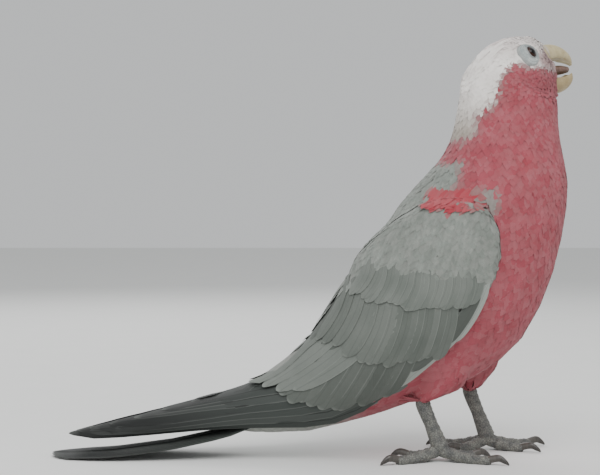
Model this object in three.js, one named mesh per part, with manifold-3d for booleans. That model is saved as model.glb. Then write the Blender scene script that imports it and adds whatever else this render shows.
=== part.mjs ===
// A galah (rose-breasted cockatoo), life size, standing upright with its head turned to its left and
// its bill a little open. Millimetres, +Z up, the bird faces +X and its left side is +Y. The floor is
// z = 0: the toes and the end of the tail rest on it on small flats.
//
// The body is one loft with a head joined on, parted into trunk, neck, head and tail coverts by thin
// cuts. The wings are pieces of a shell that wraps the body and the tail, cut to the outline of the
// folded wing. Everything is built about the right foot, and moved by MIDDLE at the end so that the
// origin lies under the middle of the bird.
import * as THREE from "three";
import Module from "manifold-3d";
import { mergeVertices } from "three/addons/utils/BufferGeometryUtils.js";

const wasm = await Module();
wasm.setup();

const GAP = 0.3; // left between pieces that meet
const FAR = 400; // reach of cutting blocks
const MIDDLE = [-58.1, 0]; // x, y of the point under the middle of the bird

// Rings of the body from the tail coverts to the inside of the head. Each ring is an ellipse through a
// point on the back (x, z) and a point on the belly (x, z), with a half width and a shift to the left.
const BODY = [
  [-104, 20, -101, 13, 8, 0],
  [-82, 33, -68, 12, 15, 0],
  [-62, 50, -40, 18, 21, 0],
  [-52, 68, -20, 24, 28, 0],
  [-41, 88, 2, 32, 34, 0],
  [-29, 109, 26, 42, 37.5, 0],
  [-15, 130, 47, 60, 39, 0],
  [-2, 144.5, 61, 88, 37, 0],
  [6, 153.5, 68.5, 118, 32.5, 0],
  [10.5, 163, 70.5, 140, 28.5, 0.5],
  [13, 173, 67.5, 157, 25.5, 1.5],
  [15, 184, 66, 171, 23.5, 3],
  [19, 196, 66.5, 183, 20.5, 5],
];
// Rings of the shell that the folded wings are cut from, from the shoulder to the wing tips.
const SLEEVE = [
  [5, 154, 70, 113, 40],
  [-14, 135, 62, 86, 43],
  [-30, 115, 45, 60, 43.5],
  [-44, 93, 22, 42, 42],
  [-56, 73, -2, 30, 37],
  [-68, 57, -26, 20, 30],
  [-84, 44, -50, 11, 23.5],
  [-106, 35.5, -80, 9, 20.5],
  [-134, 28, -116, 9, 18],
  [-163, 21, -154, 6, 15],
  [-190, 13, -187, 2, 10],
];
const WING_THICK = [7.5, 7.5, 6.5, 5, 4, 3.4, 3, 2.6, 2.2, 1.8, 1.4];

// The folded wing seen from the side, as x, z: the covert shield, the flight feathers of the forearm
// below it, and the long primaries.
const SHIELD_FRONT = [
  [-44, 96], [-31, 110], [-17, 122.5], [-5, 129.5], [8, 131.5], [20.5, 130], [28.5, 121.5],
  [31.3, 108.5], [28.7, 93.5], [21.5, 80.5], [13, 68], [0, 54.5],
];
const SECONDARY_FRONT = [[-60, 79], [-40, 90], [-14, 78], [-2, 57], [-12, 42], [-23, 32]];
const PRIMARY_FRONT = [[-96, 58], [-60, 40], [-30, 36], [-25, 29]];
const COVERT_TIPS = { from: [0, 54.5], to: [-62, 66], bow: 7, count: 5 };
const SECONDARY_TIPS = { from: [-23, 32], to: [-92, 46], bow: 11, count: 6 };
const PRIMARY_EDGE = [[-45, 16], [-70, 12.5], [-84, 15.5], [-98, 18.8], [-128, 14]];
const PRIMARY_TIPS = { from: [-150, 11], to: [-186, 16], bow: 1, count: 4 };
const TIP_ROUND = 2.2; // how far a rounded feather tip stands out of its row
const LAYER_STEP = 0.9; // each row of the wing lies this much lower than the row over it
const RUMP_STRIP = 7; // half width of the strip of rump left open between the primaries

// The head is built in a frame of its own: forward, left, up from the middle of the skull.
const SKULL = { x: 40, y: 7, z: 194 };
const HEAD_YAW = 35; // degrees, to the bird's left
const HEAD_PITCH = 22; // bill up
const HEAD_ROLL = 8; // crown to the bird's left
// forward, top, bottom, half width
const HEAD = [
  [-29.5, 1, -8, 4],
  [-26.5, 6.5, -15.5, 10.5],
  [-19, 14, -21, 16],
  [-9, 19.3, -23, 19.5],
  [2, 21.4, -23, 20.5],
  [12, 20.8, -22.5, 18.6],
  [19, 18.2, -23, 13.8],
  [25, 14.6, -22.2, 8.8],
  [29.5, 11, -19.2, 5.6],
  [32.5, 8, -12, 3.4],
  [34, 5, -6, 1.8],
];
const CREST = { from: 21, to: -28.5, spread: 46, thick: 1.3 };
const EYE = { forward: 3.5, side: 15.4, up: 7, r: 4.6 };
const EYE_ROOT = { forward: 0, up: 2 }; // the point in the middle of the skull that both eyes look out from
const EYE_RING = { outer: 7.8, inner: 3.9, thick: 0.9 };
// forward, up, half depth, half width along the middle of each half of the bill, which is open
const UPPER_BILL = [
  [20, 2.8, 5.2, 8],
  [27, 3, 5.3, 7.8],
  [33, 2, 5, 7],
  [38, -0.3, 4.3, 5.8],
  [41.8, -3.2, 3.2, 4.2],
  [43.9, -6, 1.9, 2.6],
  [44.8, -8.6, 0.5, 0.8],
];
const LOWER_BILL = [
  [16, -9.5, 4, 6],
  [23, -12, 4.8, 7],
  [29, -13.8, 5, 6.8],
  [34, -14.4, 4.4, 6],
  [38.2, -13.8, 3, 4.8],
  [41, -12.4, 0.9, 3],
];
const TONGUE = [[22, -4.8, 2.2, 3.6], [29, -6.3, 2.5, 3.8], [35.5, -8, 2.5, 3.4], [40.6, -9.6, 1.7, 2.3]];

// Legs. Each has the joint above the toes, the ankle and the middle of the feathered thigh.
const LEGS = {
  right: { side: -1, foot: [3, -19, 8.5], ankle: [-5, -18.5, 29], thigh: [7, -19, 44], turn: -4 },
  left: { side: 1, foot: [31, 19, 8.5], ankle: [22.5, 18.5, 31], thigh: [26, 18, 46], turn: 4 },
};
const THIGH_R = 11;
const ANKLE_R = 4.3;
// heading in degrees from straight ahead, outwards, and length of each toe
const TOES = {
  front_outer: [20, 27],
  front_inner: [-26, 20],
  rear_outer: [150, 24],
  rear_inner: [-158, 17],
};
const TOE_R = 3.1;
const TOE_TIP_R = 2.4;
const HUB_R = 8.8; // reach of the sole that the toes branch from
const TOE_SINK = 0.6; // how much of the toe's underside is flat
const CLAW_LENGTH = 9.5;
const CLAW_R = 1.9;

// Tail: top of the middle feather as x, z, half width and thickness from the rump to the end.
const TAIL = [
  [-50, 41, 12, 9],
  [-78, 25.5, 14.5, 6],
  [-104, 14.6, 16.5, 4],
  [-132, 8.4, 19.5, 3.2],
  [-162, 4.3, 21.5, 2.8],
  [-196, 2.1, 22.5, 2.6],
];
const TAIL_ARCH = 2.4; // how much lower the edges are than the middle at the rump
const TAIL_FEATHERS = 12;
const TAIL_END = -194;
const TAIL_OUTER_SHORT = 9; // how much shorter the outer feathers are
const TAIL_NOTCH = 1.6; // depth of the notches between the feather tips

// --- shapes -------------------------------------------------------------------------------------

const vec = (x, y, z) => new THREE.Vector3(x, y, z);
const rad = THREE.MathUtils.degToRad;
const mix = THREE.MathUtils.lerp;

// A row of numbers that runs smoothly through evenly spaced stations; t goes from 0 to 1.
function along(stations, t) {
  const last = stations.length - 1;
  const place = THREE.MathUtils.clamp(t, 0, 1) * last;
  const i = Math.min(Math.floor(place), last - 1);
  const u = place - i;
  const row = (k) => [stations[THREE.MathUtils.clamp(k, 0, last)]].flat();
  const [a, b, c, d] = [row(i - 1), row(i), row(i + 1), row(i + 2)];
  return b.map((_, k) => {
    const lean = (c[k] - a[k]) / 2;
    const next = (d[k] - b[k]) / 2;
    const rise = c[k] - b[k];
    return b[k] + u * (lean + u * (3 * rise - 2 * lean - next + u * (lean + next - 2 * rise)));
  });
}

// A closed surface from rings of points: point(t, angle), with t from 0 to 1, closed by a fan at each end.
function loft(point, steps, sides) {
  const places = [];
  const faces = [];
  for (let i = 0; i <= steps; i++)
    for (let j = 0; j < sides; j++)
      places.push(...point(i / steps, (j / sides) * 2 * Math.PI));
  const ring = (i, j) => i * sides + (j % sides);
  for (let i = 0; i < steps; i++)
    for (let j = 0; j < sides; j++) {
      faces.push(ring(i, j), ring(i, j + 1), ring(i + 1, j + 1));
      faces.push(ring(i, j), ring(i + 1, j + 1), ring(i + 1, j));
    }
  for (const i of [0, steps]) {
    const middle = vec(0, 0, 0);
    for (let j = 0; j < sides; j++)
      middle.add(vec(...places.slice(3 * ring(i, j), 3 * ring(i, j) + 3)));
    const centre = places.length / 3;
    places.push(...middle.divideScalar(sides));
    for (let j = 0; j < sides; j++)
      faces.push(...(i ? [centre, ring(i, j), ring(i, j + 1)] : [centre, ring(i, j + 1), ring(i, j)]));
  }
  const geometry = new THREE.BufferGeometry();
  geometry.setAttribute("position", new THREE.Float32BufferAttribute(places, 3));
  geometry.setIndex(faces);
  return solid(geometry);
}

// A three.js geometry as a manifold solid with its faces pointing out.
function solid(geometry) {
  const bare = geometry.clone();
  bare.deleteAttribute("normal");
  bare.deleteAttribute("uv");
  const merged = mergeVertices(bare, 1e-4);
  const build = (triVerts) =>
    new wasm.Manifold(
      new wasm.Mesh({
        numProp: 3,
        vertProperties: new Float32Array(merged.attributes.position.array),
        triVerts: new Uint32Array(triVerts),
      }),
    );
  const index = Array.from(merged.index.array);
  const made = build(index);
  return made.volume() > 0 ? made : build(index.reverse());
}

// The outside of a piece back as a three.js mesh.
function piece(name, shape, material) {
  const { numProp, vertProperties, triVerts } = shape.getMesh();
  const places = new Float32Array((vertProperties.length / numProp) * 3);
  for (let i = 0; i < places.length / 3; i++)
    places.set(vertProperties.subarray(i * numProp, i * numProp + 3), i * 3);
  const geometry = new THREE.BufferGeometry();
  geometry.setAttribute("position", new THREE.BufferAttribute(places, 3));
  geometry.setIndex(new THREE.BufferAttribute(triVerts, 1));
  geometry.computeVertexNormals();
  const mesh = new THREE.Mesh(geometry, material);
  mesh.name = name;
  return mesh;
}

// The largest connected body of a shape, so that slivers left by a cut are dropped.
function largest(shape) {
  return shape.decompose().reduce((a, b) => (a.volume() > b.volume() ? a : b));
}

const above = (shape, point, normal) =>
  shape.trimByPlane(normal.toArray(), normal.dot(point) + GAP / 2);
const below = (shape, point, normal) => above(shape, point, normal.clone().negate());

// The point of a ring at an angle from the back, with the ring grown by some millimetres.
function ringPoint([backX, backZ, bellyX, bellyZ, half, shift = 0], angle, grow) {
  const centre = vec((backX + bellyX) / 2, shift, (backZ + bellyZ) / 2);
  const up = vec(backX, shift, backZ).sub(centre);
  const depth = up.length();
  up.multiplyScalar((depth + grow) / depth);
  return centre
    .addScaledVector(up, Math.cos(angle))
    .add(vec(0, (half + grow) * Math.sin(angle), 0));
}

// --- body, head and crest -----------------------------------------------------------------------

const headFrame = new THREE.Matrix4()
  .makeTranslation(SKULL.x, SKULL.y, SKULL.z)
  .multiply(new THREE.Matrix4().makeRotationZ(rad(HEAD_YAW)))
  .multiply(new THREE.Matrix4().makeRotationY(rad(-HEAD_PITCH)))
  .multiply(new THREE.Matrix4().makeRotationX(rad(-HEAD_ROLL)));
const inHead = (forward, left, up) => vec(forward, left, up).applyMatrix4(headFrame);

function bodyLoft(grow) {
  return loft((t, angle) => ringPoint(along(BODY, t), angle, grow), 20, 20);
}

function headPoint(t, angle, grow) {
  const [forward, top, bottom, half] = along(HEAD, t);
  const middle = (top + bottom) / 2;
  const depth = (top - bottom) / 2;
  return inHead(
    forward + grow * (2 * t - 1),
    (half + grow) * Math.sin(angle),
    middle + (depth + grow) * Math.cos(angle),
  );
}

function headLoft(grow) {
  return loft((t, angle) => headPoint(t, angle, grow), 11, 16);
}

// The folded crest lies on the crown and the nape as a thin shell that narrows to its tip.
function crest(grow) {
  const [first, last] = [HEAD[0][0], HEAD[HEAD.length - 1][0]];
  return loft((t, angle) => {
    const reach = mix(CREST.from + 2 * grow, CREST.to - grow, t);
    const place = headReach((reach - first) / (last - first));
    const width = rad(CREST.spread) * Math.sqrt(Math.sin(Math.PI * mix(0.14, 0.95, t))) + grow / 6;
    const across = width * Math.cos(angle);
    const rim = Math.pow(Math.sin(Math.PI * mix(0.1, 0.9, t)), 0.5) * Math.abs(Math.sin(angle));
    const inner = headPoint(place, across, -1.5 - grow);
    const outer = headPoint(place, across, (CREST.thick + grow) * rim);
    return inner.lerp(outer, (1 + Math.sin(angle)) / 2);
  }, 7, 10);
}

// The place along the rings of the head where they reach a share of its length.
function headReach(share) {
  const [first, last] = [HEAD[0][0], HEAD[HEAD.length - 1][0]];
  let [low, high] = [0, 1];
  for (let i = 0; i < 20; i++) {
    const t = (low + high) / 2;
    if ((along(HEAD, t)[0] - first) / (last - first) < share) low = t;
    else high = t;
  }
  return (low + high) / 2;
}

const eyeAt = (side) => inHead(EYE.forward, side * EYE.side, EYE.up);

function ball(centre, r) {
  return solid(new THREE.SphereGeometry(r, 10, 7)).translate(centre.toArray());
}

// A round bar through the head, along the line that an eye looks out on.
function eyeBar(side, r) {
  const bar = new THREE.CylinderGeometry(r, r, 30, 12);
  const out = eyeAt(side).sub(inHead(EYE_ROOT.forward, 0, EYE_ROOT.up)).normalize();
  bar.applyQuaternion(new THREE.Quaternion().setFromUnitVectors(vec(0, 1, 0), out));
  return solid(bar).translate(eyeAt(side).toArray());
}

const body = bodyLoft(0);
const bodyGrown = bodyLoft(GAP);
const flesh = body.add(headLoft(0));
const neckCut = { point: vec(30, 0, 136), normal: vec(0.42, 0, 0.91).normalize() };
const headCut = { point: vec(38, 3, 178), normal: vec(-0.3, -0.1, 0.95).normalize() };
const rumpCut = { point: vec(-52, 0, 36), normal: vec(0.75, 0, 0.66).normalize() };

// --- bill and tongue ----------------------------------------------------------------------------

// A curved tapering piece along stations of forward, up, half depth and half width.
function beak(stations, { flatten = 1, grow = 0, steps = 9, sides = 10 } = {}) {
  return loft((t, angle) => {
    const [forward, up, depth, half] = along(stations, t);
    const [nextForward, nextUp] = along(stations, Math.min(t + 0.02, 1));
    const [lastForward, lastUp] = along(stations, Math.max(t - 0.02, 0));
    const run = new THREE.Vector2(nextForward - lastForward, nextUp - lastUp).normalize();
    const high = Math.cos(angle);
    const rise = (depth + grow) * (high < 0 ? high * flatten : high);
    return inHead(forward - run.y * rise, (half + grow) * Math.sin(angle), up + run.x * rise);
  }, steps, sides);
}

const upperBill = (grow) => beak(UPPER_BILL, { flatten: 0.8, grow });
const lowerBill = (grow) => beak(LOWER_BILL, { grow });
const tongue = (grow) => beak(TONGUE, { grow, steps: 4, sides: 8 });

// --- wings --------------------------------------------------------------------------------------

// The shell that the wings are cut from, sunk by a depth that may grow with its thickness.
function sleeve(depth) {
  return loft((t, angle) => {
    const [thick] = along(WING_THICK, t);
    return ringPoint(along(SLEEVE, t), angle, -depth(thick));
  }, 13, 18);
}

// A row of rounded feather tips between two points, on a line that bows out towards the tail.
function featherTips({ from, to, bow, count }) {
  const start = new THREE.Vector2(...from);
  const run = new THREE.Vector2(...to).sub(start);
  const out = new THREE.Vector2(-run.y, run.x).normalize();
  const points = [];
  const arcSteps = 3;
  for (let i = 0; i < count * arcSteps; i++) {
    const t = (i + 0.5) / (count * arcSteps);
    const scallop = Math.abs(Math.sin(Math.PI * t * count)) * TIP_ROUND;
    const rise = bow * Math.sin(Math.PI * t) + scallop;
    points.push(start.clone().addScaledVector(run, t).addScaledVector(out, rise));
  }
  return points;
}

// A block with the given outline in side view, on the bird's right.
function sideBlock(front, tips, edge = [], inset = 2 * GAP) {
  const smooth = new THREE.SplineCurve(front.map((p) => new THREE.Vector2(...p))).getPoints(12);
  const low = edge.map((p) => new THREE.Vector2(...p));
  const shape = new THREE.Shape([...smooth, ...low, ...featherTips(tips)]);
  const block = new THREE.ExtrudeGeometry(shape, { depth: FAR, bevelEnabled: false });
  block.rotateX(Math.PI / 2);
  return solid(block).translate([0, -inset, 0]);
}

const shieldBlock = sideBlock(SHIELD_FRONT, COVERT_TIPS);
const secondaryBlock = sideBlock(SECONDARY_FRONT, SECONDARY_TIPS);
const primaryBlock = sideBlock(PRIMARY_FRONT, PRIMARY_TIPS, PRIMARY_EDGE, RUMP_STRIP);

// Three layers of the shell, each a step lower than the one before it and clear of it.
function wingLayers() {
  const hollow = sleeve((thick) => thick);
  const shellOf = (step) => sleeve((thick) => Math.min(step, thick * 0.45)).subtract(hollow);
  const clear = (block) => block.subtract(bodyGrown);
  const grown = (block, ways = [-1]) =>
    ways.reduce((all, way) => all.add(block.translate([way * GAP, GAP, -GAP])), block.translate([0, GAP, 0]));
  const coverts = clear(shellOf(0).intersect(shieldBlock));
  const secondaries = clear(shellOf(LAYER_STEP).intersect(secondaryBlock)).subtract(grown(shieldBlock));
  const primaries = clear(shellOf(2 * LAYER_STEP).intersect(primaryBlock))
    .subtract(grown(secondaryBlock))
    .subtract(grown(shieldBlock));
  const room = sleeve(() => -GAP)
    .subtract(sleeve((thick) => thick + GAP))
    .intersect([shieldBlock, secondaryBlock, primaryBlock]
      .map((block) => grown(block, [-1, 1]))
      .reduce((all, block) => all.add(block)));
  return {
    coverts: largest(coverts),
    secondaries: largest(secondaries),
    primaries: largest(primaries),
    room,
  };
}

// --- tail ---------------------------------------------------------------------------------------

function tailSlab() {
  return loft((t, angle) => {
    const [x, top, half, thick] = along(TAIL, t);
    const across = Math.cos(angle);
    const arch = TAIL_ARCH * (1 - t) * across * across;
    const squared = Math.sign(Math.sin(angle)) * Math.sqrt(Math.abs(Math.sin(angle)));
    return vec(x, half * across, top - arch + (thick / 2) * (squared - 1));
  }, 10, 12);
}

// The slab of the tail with its end cut to a row of feather tips, the outer ones shorter.
function tailShape() {
  const [root, , half] = TAIL[TAIL.length - 1];
  const wide = half * 2;
  const outline = [[root + 2 * FAR, wide], [root + 2 * FAR, -wide], [root + wide, -wide]];
  const arcSteps = 2;
  for (let i = 0; i <= TAIL_FEATHERS * arcSteps; i++) {
    const t = i / (TAIL_FEATHERS * arcSteps);
    const shorter = TAIL_OUTER_SHORT * Math.pow(Math.abs(2 * t - 1), 2.5);
    const notch = TAIL_NOTCH * Math.abs(Math.cos(Math.PI * t * TAIL_FEATHERS));
    outline.push([TAIL_END + shorter + notch, mix(-half, half, t) * 1.02]);
  }
  outline.push([root + wide, wide]);
  const shape = new THREE.Shape(outline.map((p) => new THREE.Vector2(...p)));
  const block = new THREE.ExtrudeGeometry(shape, { depth: FAR, bevelEnabled: false });
  return tailSlab().intersect(solid(block).translate([0, 0, -FAR / 2]));
}

// --- legs and feet ------------------------------------------------------------------------------

// A round tapering bar through points, with a radius for each.
function limb(points, radii, steps, sides, squash = 1) {
  const curve = new THREE.CatmullRomCurve3(points, false, "centripetal");
  return loft((t, angle) => {
    const [r] = along(radii, t);
    const run = curve.getTangent(t);
    const side = vec(-run.y, run.x, 0);
    if (side.length() < 0.2) side.set(0, 1, 0);
    side.normalize();
    const up = run.clone().cross(side).normalize();
    return curve
      .getPoint(t)
      .addScaledVector(side, r * squash * Math.sin(angle))
      .addScaledVector(up, r * Math.cos(angle));
  }, steps, sides);
}

// The feathered thigh, from inside the body down to the ankle.
function thigh({ ankle, thigh: middle }) {
  const low = vec(...ankle);
  const high = vec(...middle);
  const top = high.clone().add(vec(6, 0, 16));
  return limb(
    [top, high, high.clone().lerp(low, 0.55), low],
    [THIGH_R * 0.9, THIGH_R, THIGH_R * 0.62, ANKLE_R + 1.2],
    6, 12,
  );
}

// The bare shank, from inside the thigh down to where the toes branch.
function tarsus({ ankle, foot }) {
  const low = vec(...foot);
  const high = vec(...ankle);
  return limb(
    [high.clone().add(vec(1.5, 0, 2.5)), high, high.clone().lerp(low, 0.5), low],
    [3.4, ANKLE_R, 3.5, 4.4],
    5, 8,
  );
}

// A toe leaves the foot, comes down to the floor and runs along it over three pads. Its claw is apart.
function toe({ foot, side, turn }, [heading, length]) {
  const way = rad(side * heading + turn);
  const out = (d, z) => vec(foot[0] + d * Math.cos(way), foot[1] + d * Math.sin(way), z);
  const rest = TOE_R - TOE_SINK;
  const pads = 3;
  const radii = [TOE_R * 0.9, TOE_R, TOE_R * 0.98];
  for (let i = 1; i <= pads * 2; i++) {
    const size = mix(TOE_R, TOE_TIP_R, i / (pads * 2));
    radii.push(i % 2 ? size * 0.9 : size * 1.04);
  }
  radii.push(TOE_TIP_R * 0.75);
  const shape = limb(
    [out(0, foot[2] - 2.6), out(length * 0.25, rest + 1.4), out(length * 0.6, rest - 0.3),
      out(length, TOE_TIP_R - TOE_SINK - 0.2)],
    radii, 5, 6,
  );
  const claw = limb(
    [out(length + 2 * GAP, rest), out(length + CLAW_LENGTH * 0.42, rest + 1),
      out(length + CLAW_LENGTH * 0.8, rest - 0.6), out(length + CLAW_LENGTH, 0.45)],
    [CLAW_R, CLAW_R * 0.9, CLAW_R * 0.55, 0.32],
    4, 6, 0.8,
  );
  return { shape: shape.trimByPlane([0, 0, 1], 0), claw: claw.trimByPlane([0, 0, 1], 0.02) };
}

// --- materials and assembly ---------------------------------------------------------------------

const paint = (color, roughness) => new THREE.MeshStandardMaterial({ color, roughness, metalness: 0 });
const rose = paint(0xc9707e, 0.9);
const white = paint(0xe9dedb, 0.9);
const grey = paint(0xa9adab, 0.85);
const slate = paint(0x5d6160, 0.8);
const horn = paint(0xd9cfb4, 0.45);
const scales = paint(0x77746f, 0.75);
const clawHorn = paint(0x4a4642, 0.4);
const eyeBrown = paint(0x120a08, 0.08);
const bareSkin = paint(0xb9b7b4, 0.7);
const tongueGrey = paint(0x8b8587, 0.5);

const bird = new THREE.Group();
const add = (name, shape, material) => bird.add(piece(name, shape, material));
const cutAll = (shape, others) => others.reduce((left, other) => left.subtract(other), shape);

const eyes = [-1, 1].map((side) => ball(eyeAt(side), EYE.r));
const eyesGrown = [-1, 1].map((side) => ball(eyeAt(side), EYE.r + GAP));
const mouth = [upperBill(GAP), lowerBill(GAP), tongue(GAP)];

const headPart = above(flesh, headCut.point, headCut.normal);
add("head", largest(cutAll(headPart, [...mouth, ...eyesGrown, crest(GAP)])), white);
add("crest", largest(cutAll(crest(0), [...eyesGrown, upperBill(GAP)])), white);
const neckPart = below(above(flesh, neckCut.point, neckCut.normal), headCut.point, headCut.normal);
add("neck", largest(cutAll(neckPart, [...mouth, crest(GAP)])), rose);
const trunkPart = below(above(body, rumpCut.point, rumpCut.normal), neckCut.point, neckCut.normal);
add("trunk", largest(trunkPart), rose);

add("bill_upper", upperBill(0), horn);
add("bill_lower", largest(lowerBill(0).subtract(upperBill(GAP))), horn);
add("tongue", largest(cutAll(tongue(0), [upperBill(GAP), lowerBill(GAP)])), tongueGrey);
["right", "left"].forEach((name, i) => {
  const side = i ? 1 : -1;
  add(`eye_${name}`, eyes[i], eyeBrown);
  const ring = headLoft(EYE_RING.thick)
    .subtract(headLoft(GAP))
    .intersect(eyeBar(side, EYE_RING.outer))
    .subtract(eyeBar(side, EYE_RING.inner))
    .subtract(eyesGrown[i])
    .subtract(crest(GAP));
  add(`eye_ring_${name}`, largest(cutAll(ring, mouth)), bareSkin);
});

const wing = wingLayers();
for (const [name, flip] of [["right", (s) => s], ["left", (s) => s.mirror([0, 1, 0])]]) {
  add(`wing_${name}_coverts`, flip(wing.coverts), grey);
  add(`wing_${name}_secondaries`, flip(wing.secondaries), grey);
  add(`wing_${name}_primaries`, flip(wing.primaries), slate);
}

const covertsPart = below(body, rumpCut.point, rumpCut.normal);
add("tail_coverts", largest(covertsPart), grey);
const tail = tailShape().subtract(bodyGrown).trimByPlane([0, 0, 1], 0);
add("tail", largest(tail), slate);

for (const [name, leg] of Object.entries(LEGS)) {
  const ankle = vec(...leg.ankle);
  const down = vec(...leg.foot).sub(ankle).normalize();
  const room = name === "right" ? wing.room : wing.room.mirror([0, 1, 0]);
  const trousers = thigh(leg).subtract(bodyGrown).subtract(room);
  add(`thigh_${name}`, largest(below(trousers, ankle, down)), rose);
  const toes = Object.entries(TOES).map(([toeName, sizes]) => [toeName, toe(leg, sizes)]);
  const hub = (r) => {
    const disc = new THREE.CylinderGeometry(r, r, FAR, 8).rotateX(Math.PI / 2);
    return solid(disc).translate([leg.foot[0], leg.foot[1], 0]);
  };
  const sole = toes.reduce((joined, [, { shape }]) => joined.add(shape.intersect(hub(HUB_R))), tarsus(leg));
  add(`tarsus_${name}`, largest(above(sole, ankle, down)), scales);
  toes.forEach(([toeName, { shape, claw }]) => {
    add(`toe_${name}_${toeName}`, largest(shape.subtract(hub(HUB_R + GAP))), scales);
    add(`claw_${name}_${toeName}`, claw, clawHorn);
  });
}

bird.position.set(-MIDDLE[0], -MIDDLE[1], 0);
export default bird;
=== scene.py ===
# %% [markdown]
# # A galah, life size
# The part's solids give the bird's true outline, and here it gets its looks. Solids alone look like a
# carved decoy: a real galah is a smooth body under some thousands of overlapping feathers, with bare
# skin only round the eyes and on the feet. Feathers could be painted on as a texture, or grown as hair,
# but only real leaves give each feather an edge and a shadow of its own. So the soft solids become one
# skin, feathers are laid over it in the direction of the coat, and the bill, eyes, feet and claws are
# modelled as pieces of their own.

# %% Load the frame
import math
import bmesh
import bpy
import numpy as np
from mathutils import Matrix, Vector
from mathutils.bvhtree import BVHTree
from mathutils.kdtree import KDTree


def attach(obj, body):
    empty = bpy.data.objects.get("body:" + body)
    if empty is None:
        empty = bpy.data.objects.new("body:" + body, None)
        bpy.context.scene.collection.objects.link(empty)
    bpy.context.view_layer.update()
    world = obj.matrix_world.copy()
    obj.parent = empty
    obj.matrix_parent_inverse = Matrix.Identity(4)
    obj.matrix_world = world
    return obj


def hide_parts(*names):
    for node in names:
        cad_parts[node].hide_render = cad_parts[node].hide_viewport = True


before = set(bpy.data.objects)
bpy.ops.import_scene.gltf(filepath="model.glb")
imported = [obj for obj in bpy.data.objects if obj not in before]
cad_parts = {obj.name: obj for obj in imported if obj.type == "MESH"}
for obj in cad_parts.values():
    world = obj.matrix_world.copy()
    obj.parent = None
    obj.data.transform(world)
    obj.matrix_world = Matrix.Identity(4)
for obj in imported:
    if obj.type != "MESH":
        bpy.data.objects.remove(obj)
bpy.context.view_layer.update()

# %% [markdown]
# ## Millimetres and metres
# The bird is measured in millimetres about its right foot, facing +X with its left side towards +Y.
# The frame is in metres about the middle of the bird, and the end of the tail is a place known in
# both. Two small functions change one into the other.

# %% Millimetres and the frame
MM = 0.001
MIDDLE_X = 58.1  # how far the right foot stands in front of the middle of the bird
TAIL_END = -194  # how far back the tail reaches


def place(points):
    """From the bird's millimetres to the frame."""
    return (np.asarray(points, float) + (MIDDLE_X, 0, 0)) * MM


def home(points):
    """From the frame back to the bird's millimetres."""
    return np.asarray(points, float) / MM - (MIDDLE_X, 0, 0)


# %% [markdown]
# ## The camera
# The camera looks at the bird's right side from a little above the height of its breast, through a
# lens long enough to keep the proportions. A lens can be given as an angle or as a focal length. Here
# the focal length follows from how wide a strip of the scene fills the frame at a given distance, so
# that both can be measured in millimetres.

# %% Camera
scene = bpy.context.scene
collection = scene.collection
CAMERA_SPOT = (-66.7, -800, 128)
CAMERA_TARGET = (-66.7, 0, 112)
VIEW_WIDTH = 307.7  # mm across the frame at the bird
VIEW_DISTANCE = 800.2


def aim(thing, spot, target):
    thing.location = spot
    thing.rotation_euler = (Vector(target) - Vector(spot)).to_track_quat("-Z", "Y").to_euler()


camera = bpy.data.objects.new("camera", bpy.data.cameras.new("camera"))
collection.objects.link(camera)
aim(camera, place(CAMERA_SPOT), place(CAMERA_TARGET))
camera.data.lens = camera.data.sensor_width * VIEW_DISTANCE / VIEW_WIDTH
camera.data.clip_start = 0.01
scene.camera = camera
print("lens:", round(camera.data.lens, 1), "mm")

# %% [markdown]
# ## Tools for materials
# Every material below is made of nodes, which could be wired by hand in the editor. Written down, the
# same three steps come again and again, so each gets a function: one turns a written colour into the
# linear numbers that Blender works in, one adds a node with its settings and links, and one starts a
# material. Two more blend colours and stretch a range of numbers on to another.

# %% A written colour
def linear(code):
    """The linear colour of six hex digits, as red, green, blue and full cover."""
    parts = [int(code[i:i + 2], 16) / 255 for i in (0, 2, 4)]
    curved = [p / 12.92 if p <= 0.04045 else ((p + 0.055) / 1.055) ** 2.4 for p in parts]
    return (*curved, 1)


print("middle grey, linear:", round(linear("808080")[0], 3))

# %% Nodes and materials
def node(tree, kind, inputs=(), **settings):
    """A new node: settings are its menus, inputs are numbers for its sockets or links to them."""
    made = tree.nodes.new("ShaderNode" + kind)
    for name, value in settings.items():
        setattr(made, name, value)
    for socket, value in dict(inputs).items():
        if isinstance(value, bpy.types.NodeSocket):
            tree.links.new(value, made.inputs[socket])
        else:
            made.inputs[socket].default_value = value
    return made


def material(title, **constants):
    """A new material, its node tree and its shader, with constants set on the shader's sockets."""
    made = bpy.data.materials.new(title)
    made.use_nodes = True
    shader = made.node_tree.nodes["Principled BSDF"]
    for name, value in constants.items():
        shader.inputs[name.replace("_", " ")].default_value = value
    return made, made.node_tree, shader


def blend(tree, share, first, second):
    """The first colour where share is 0, the second where it is 1."""
    made = node(tree, "Mix", {0: share, 6: first, 7: second}, data_type="RGBA")
    return made.outputs[2]


def ramp(tree, value, low, high, start=0.0, end=1.0):
    """Turns the range from low to high into the range from start to end."""
    made = node(tree, "MapRange", {0: value, 1: low, 2: high, 3: start, 4: end})
    return made.outputs[0]


print("tools for materials:", [tool.__name__ for tool in (node, material, blend, ramp)])

# %% [markdown]
# ## Floor and lamps
# A museum shows such a bird on plain card under soft light. The floor could be one flat colour, but a
# faint grain keeps it from looking like empty space. Area lamps are used, because their width sets how
# soft the shadows are: a large one above and in front models the breast and the wing, a weaker one
# fills the shade, and a third lights the back from behind.

# %% Floor
FLOOR_REACH = 4  # metres from the middle to each edge
paper, tree, shader = material("matt_card_floor", Roughness=0.95)
grain = node(tree, "TexNoise", {"Vector": node(tree, "TexCoord").outputs["Object"], "Scale": 30.0})
tone = blend(tree, grain.outputs["Fac"], linear("e4e5e3"), linear("e9e9e7"))
tree.links.new(tone, shader.inputs["Base Color"])

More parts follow.
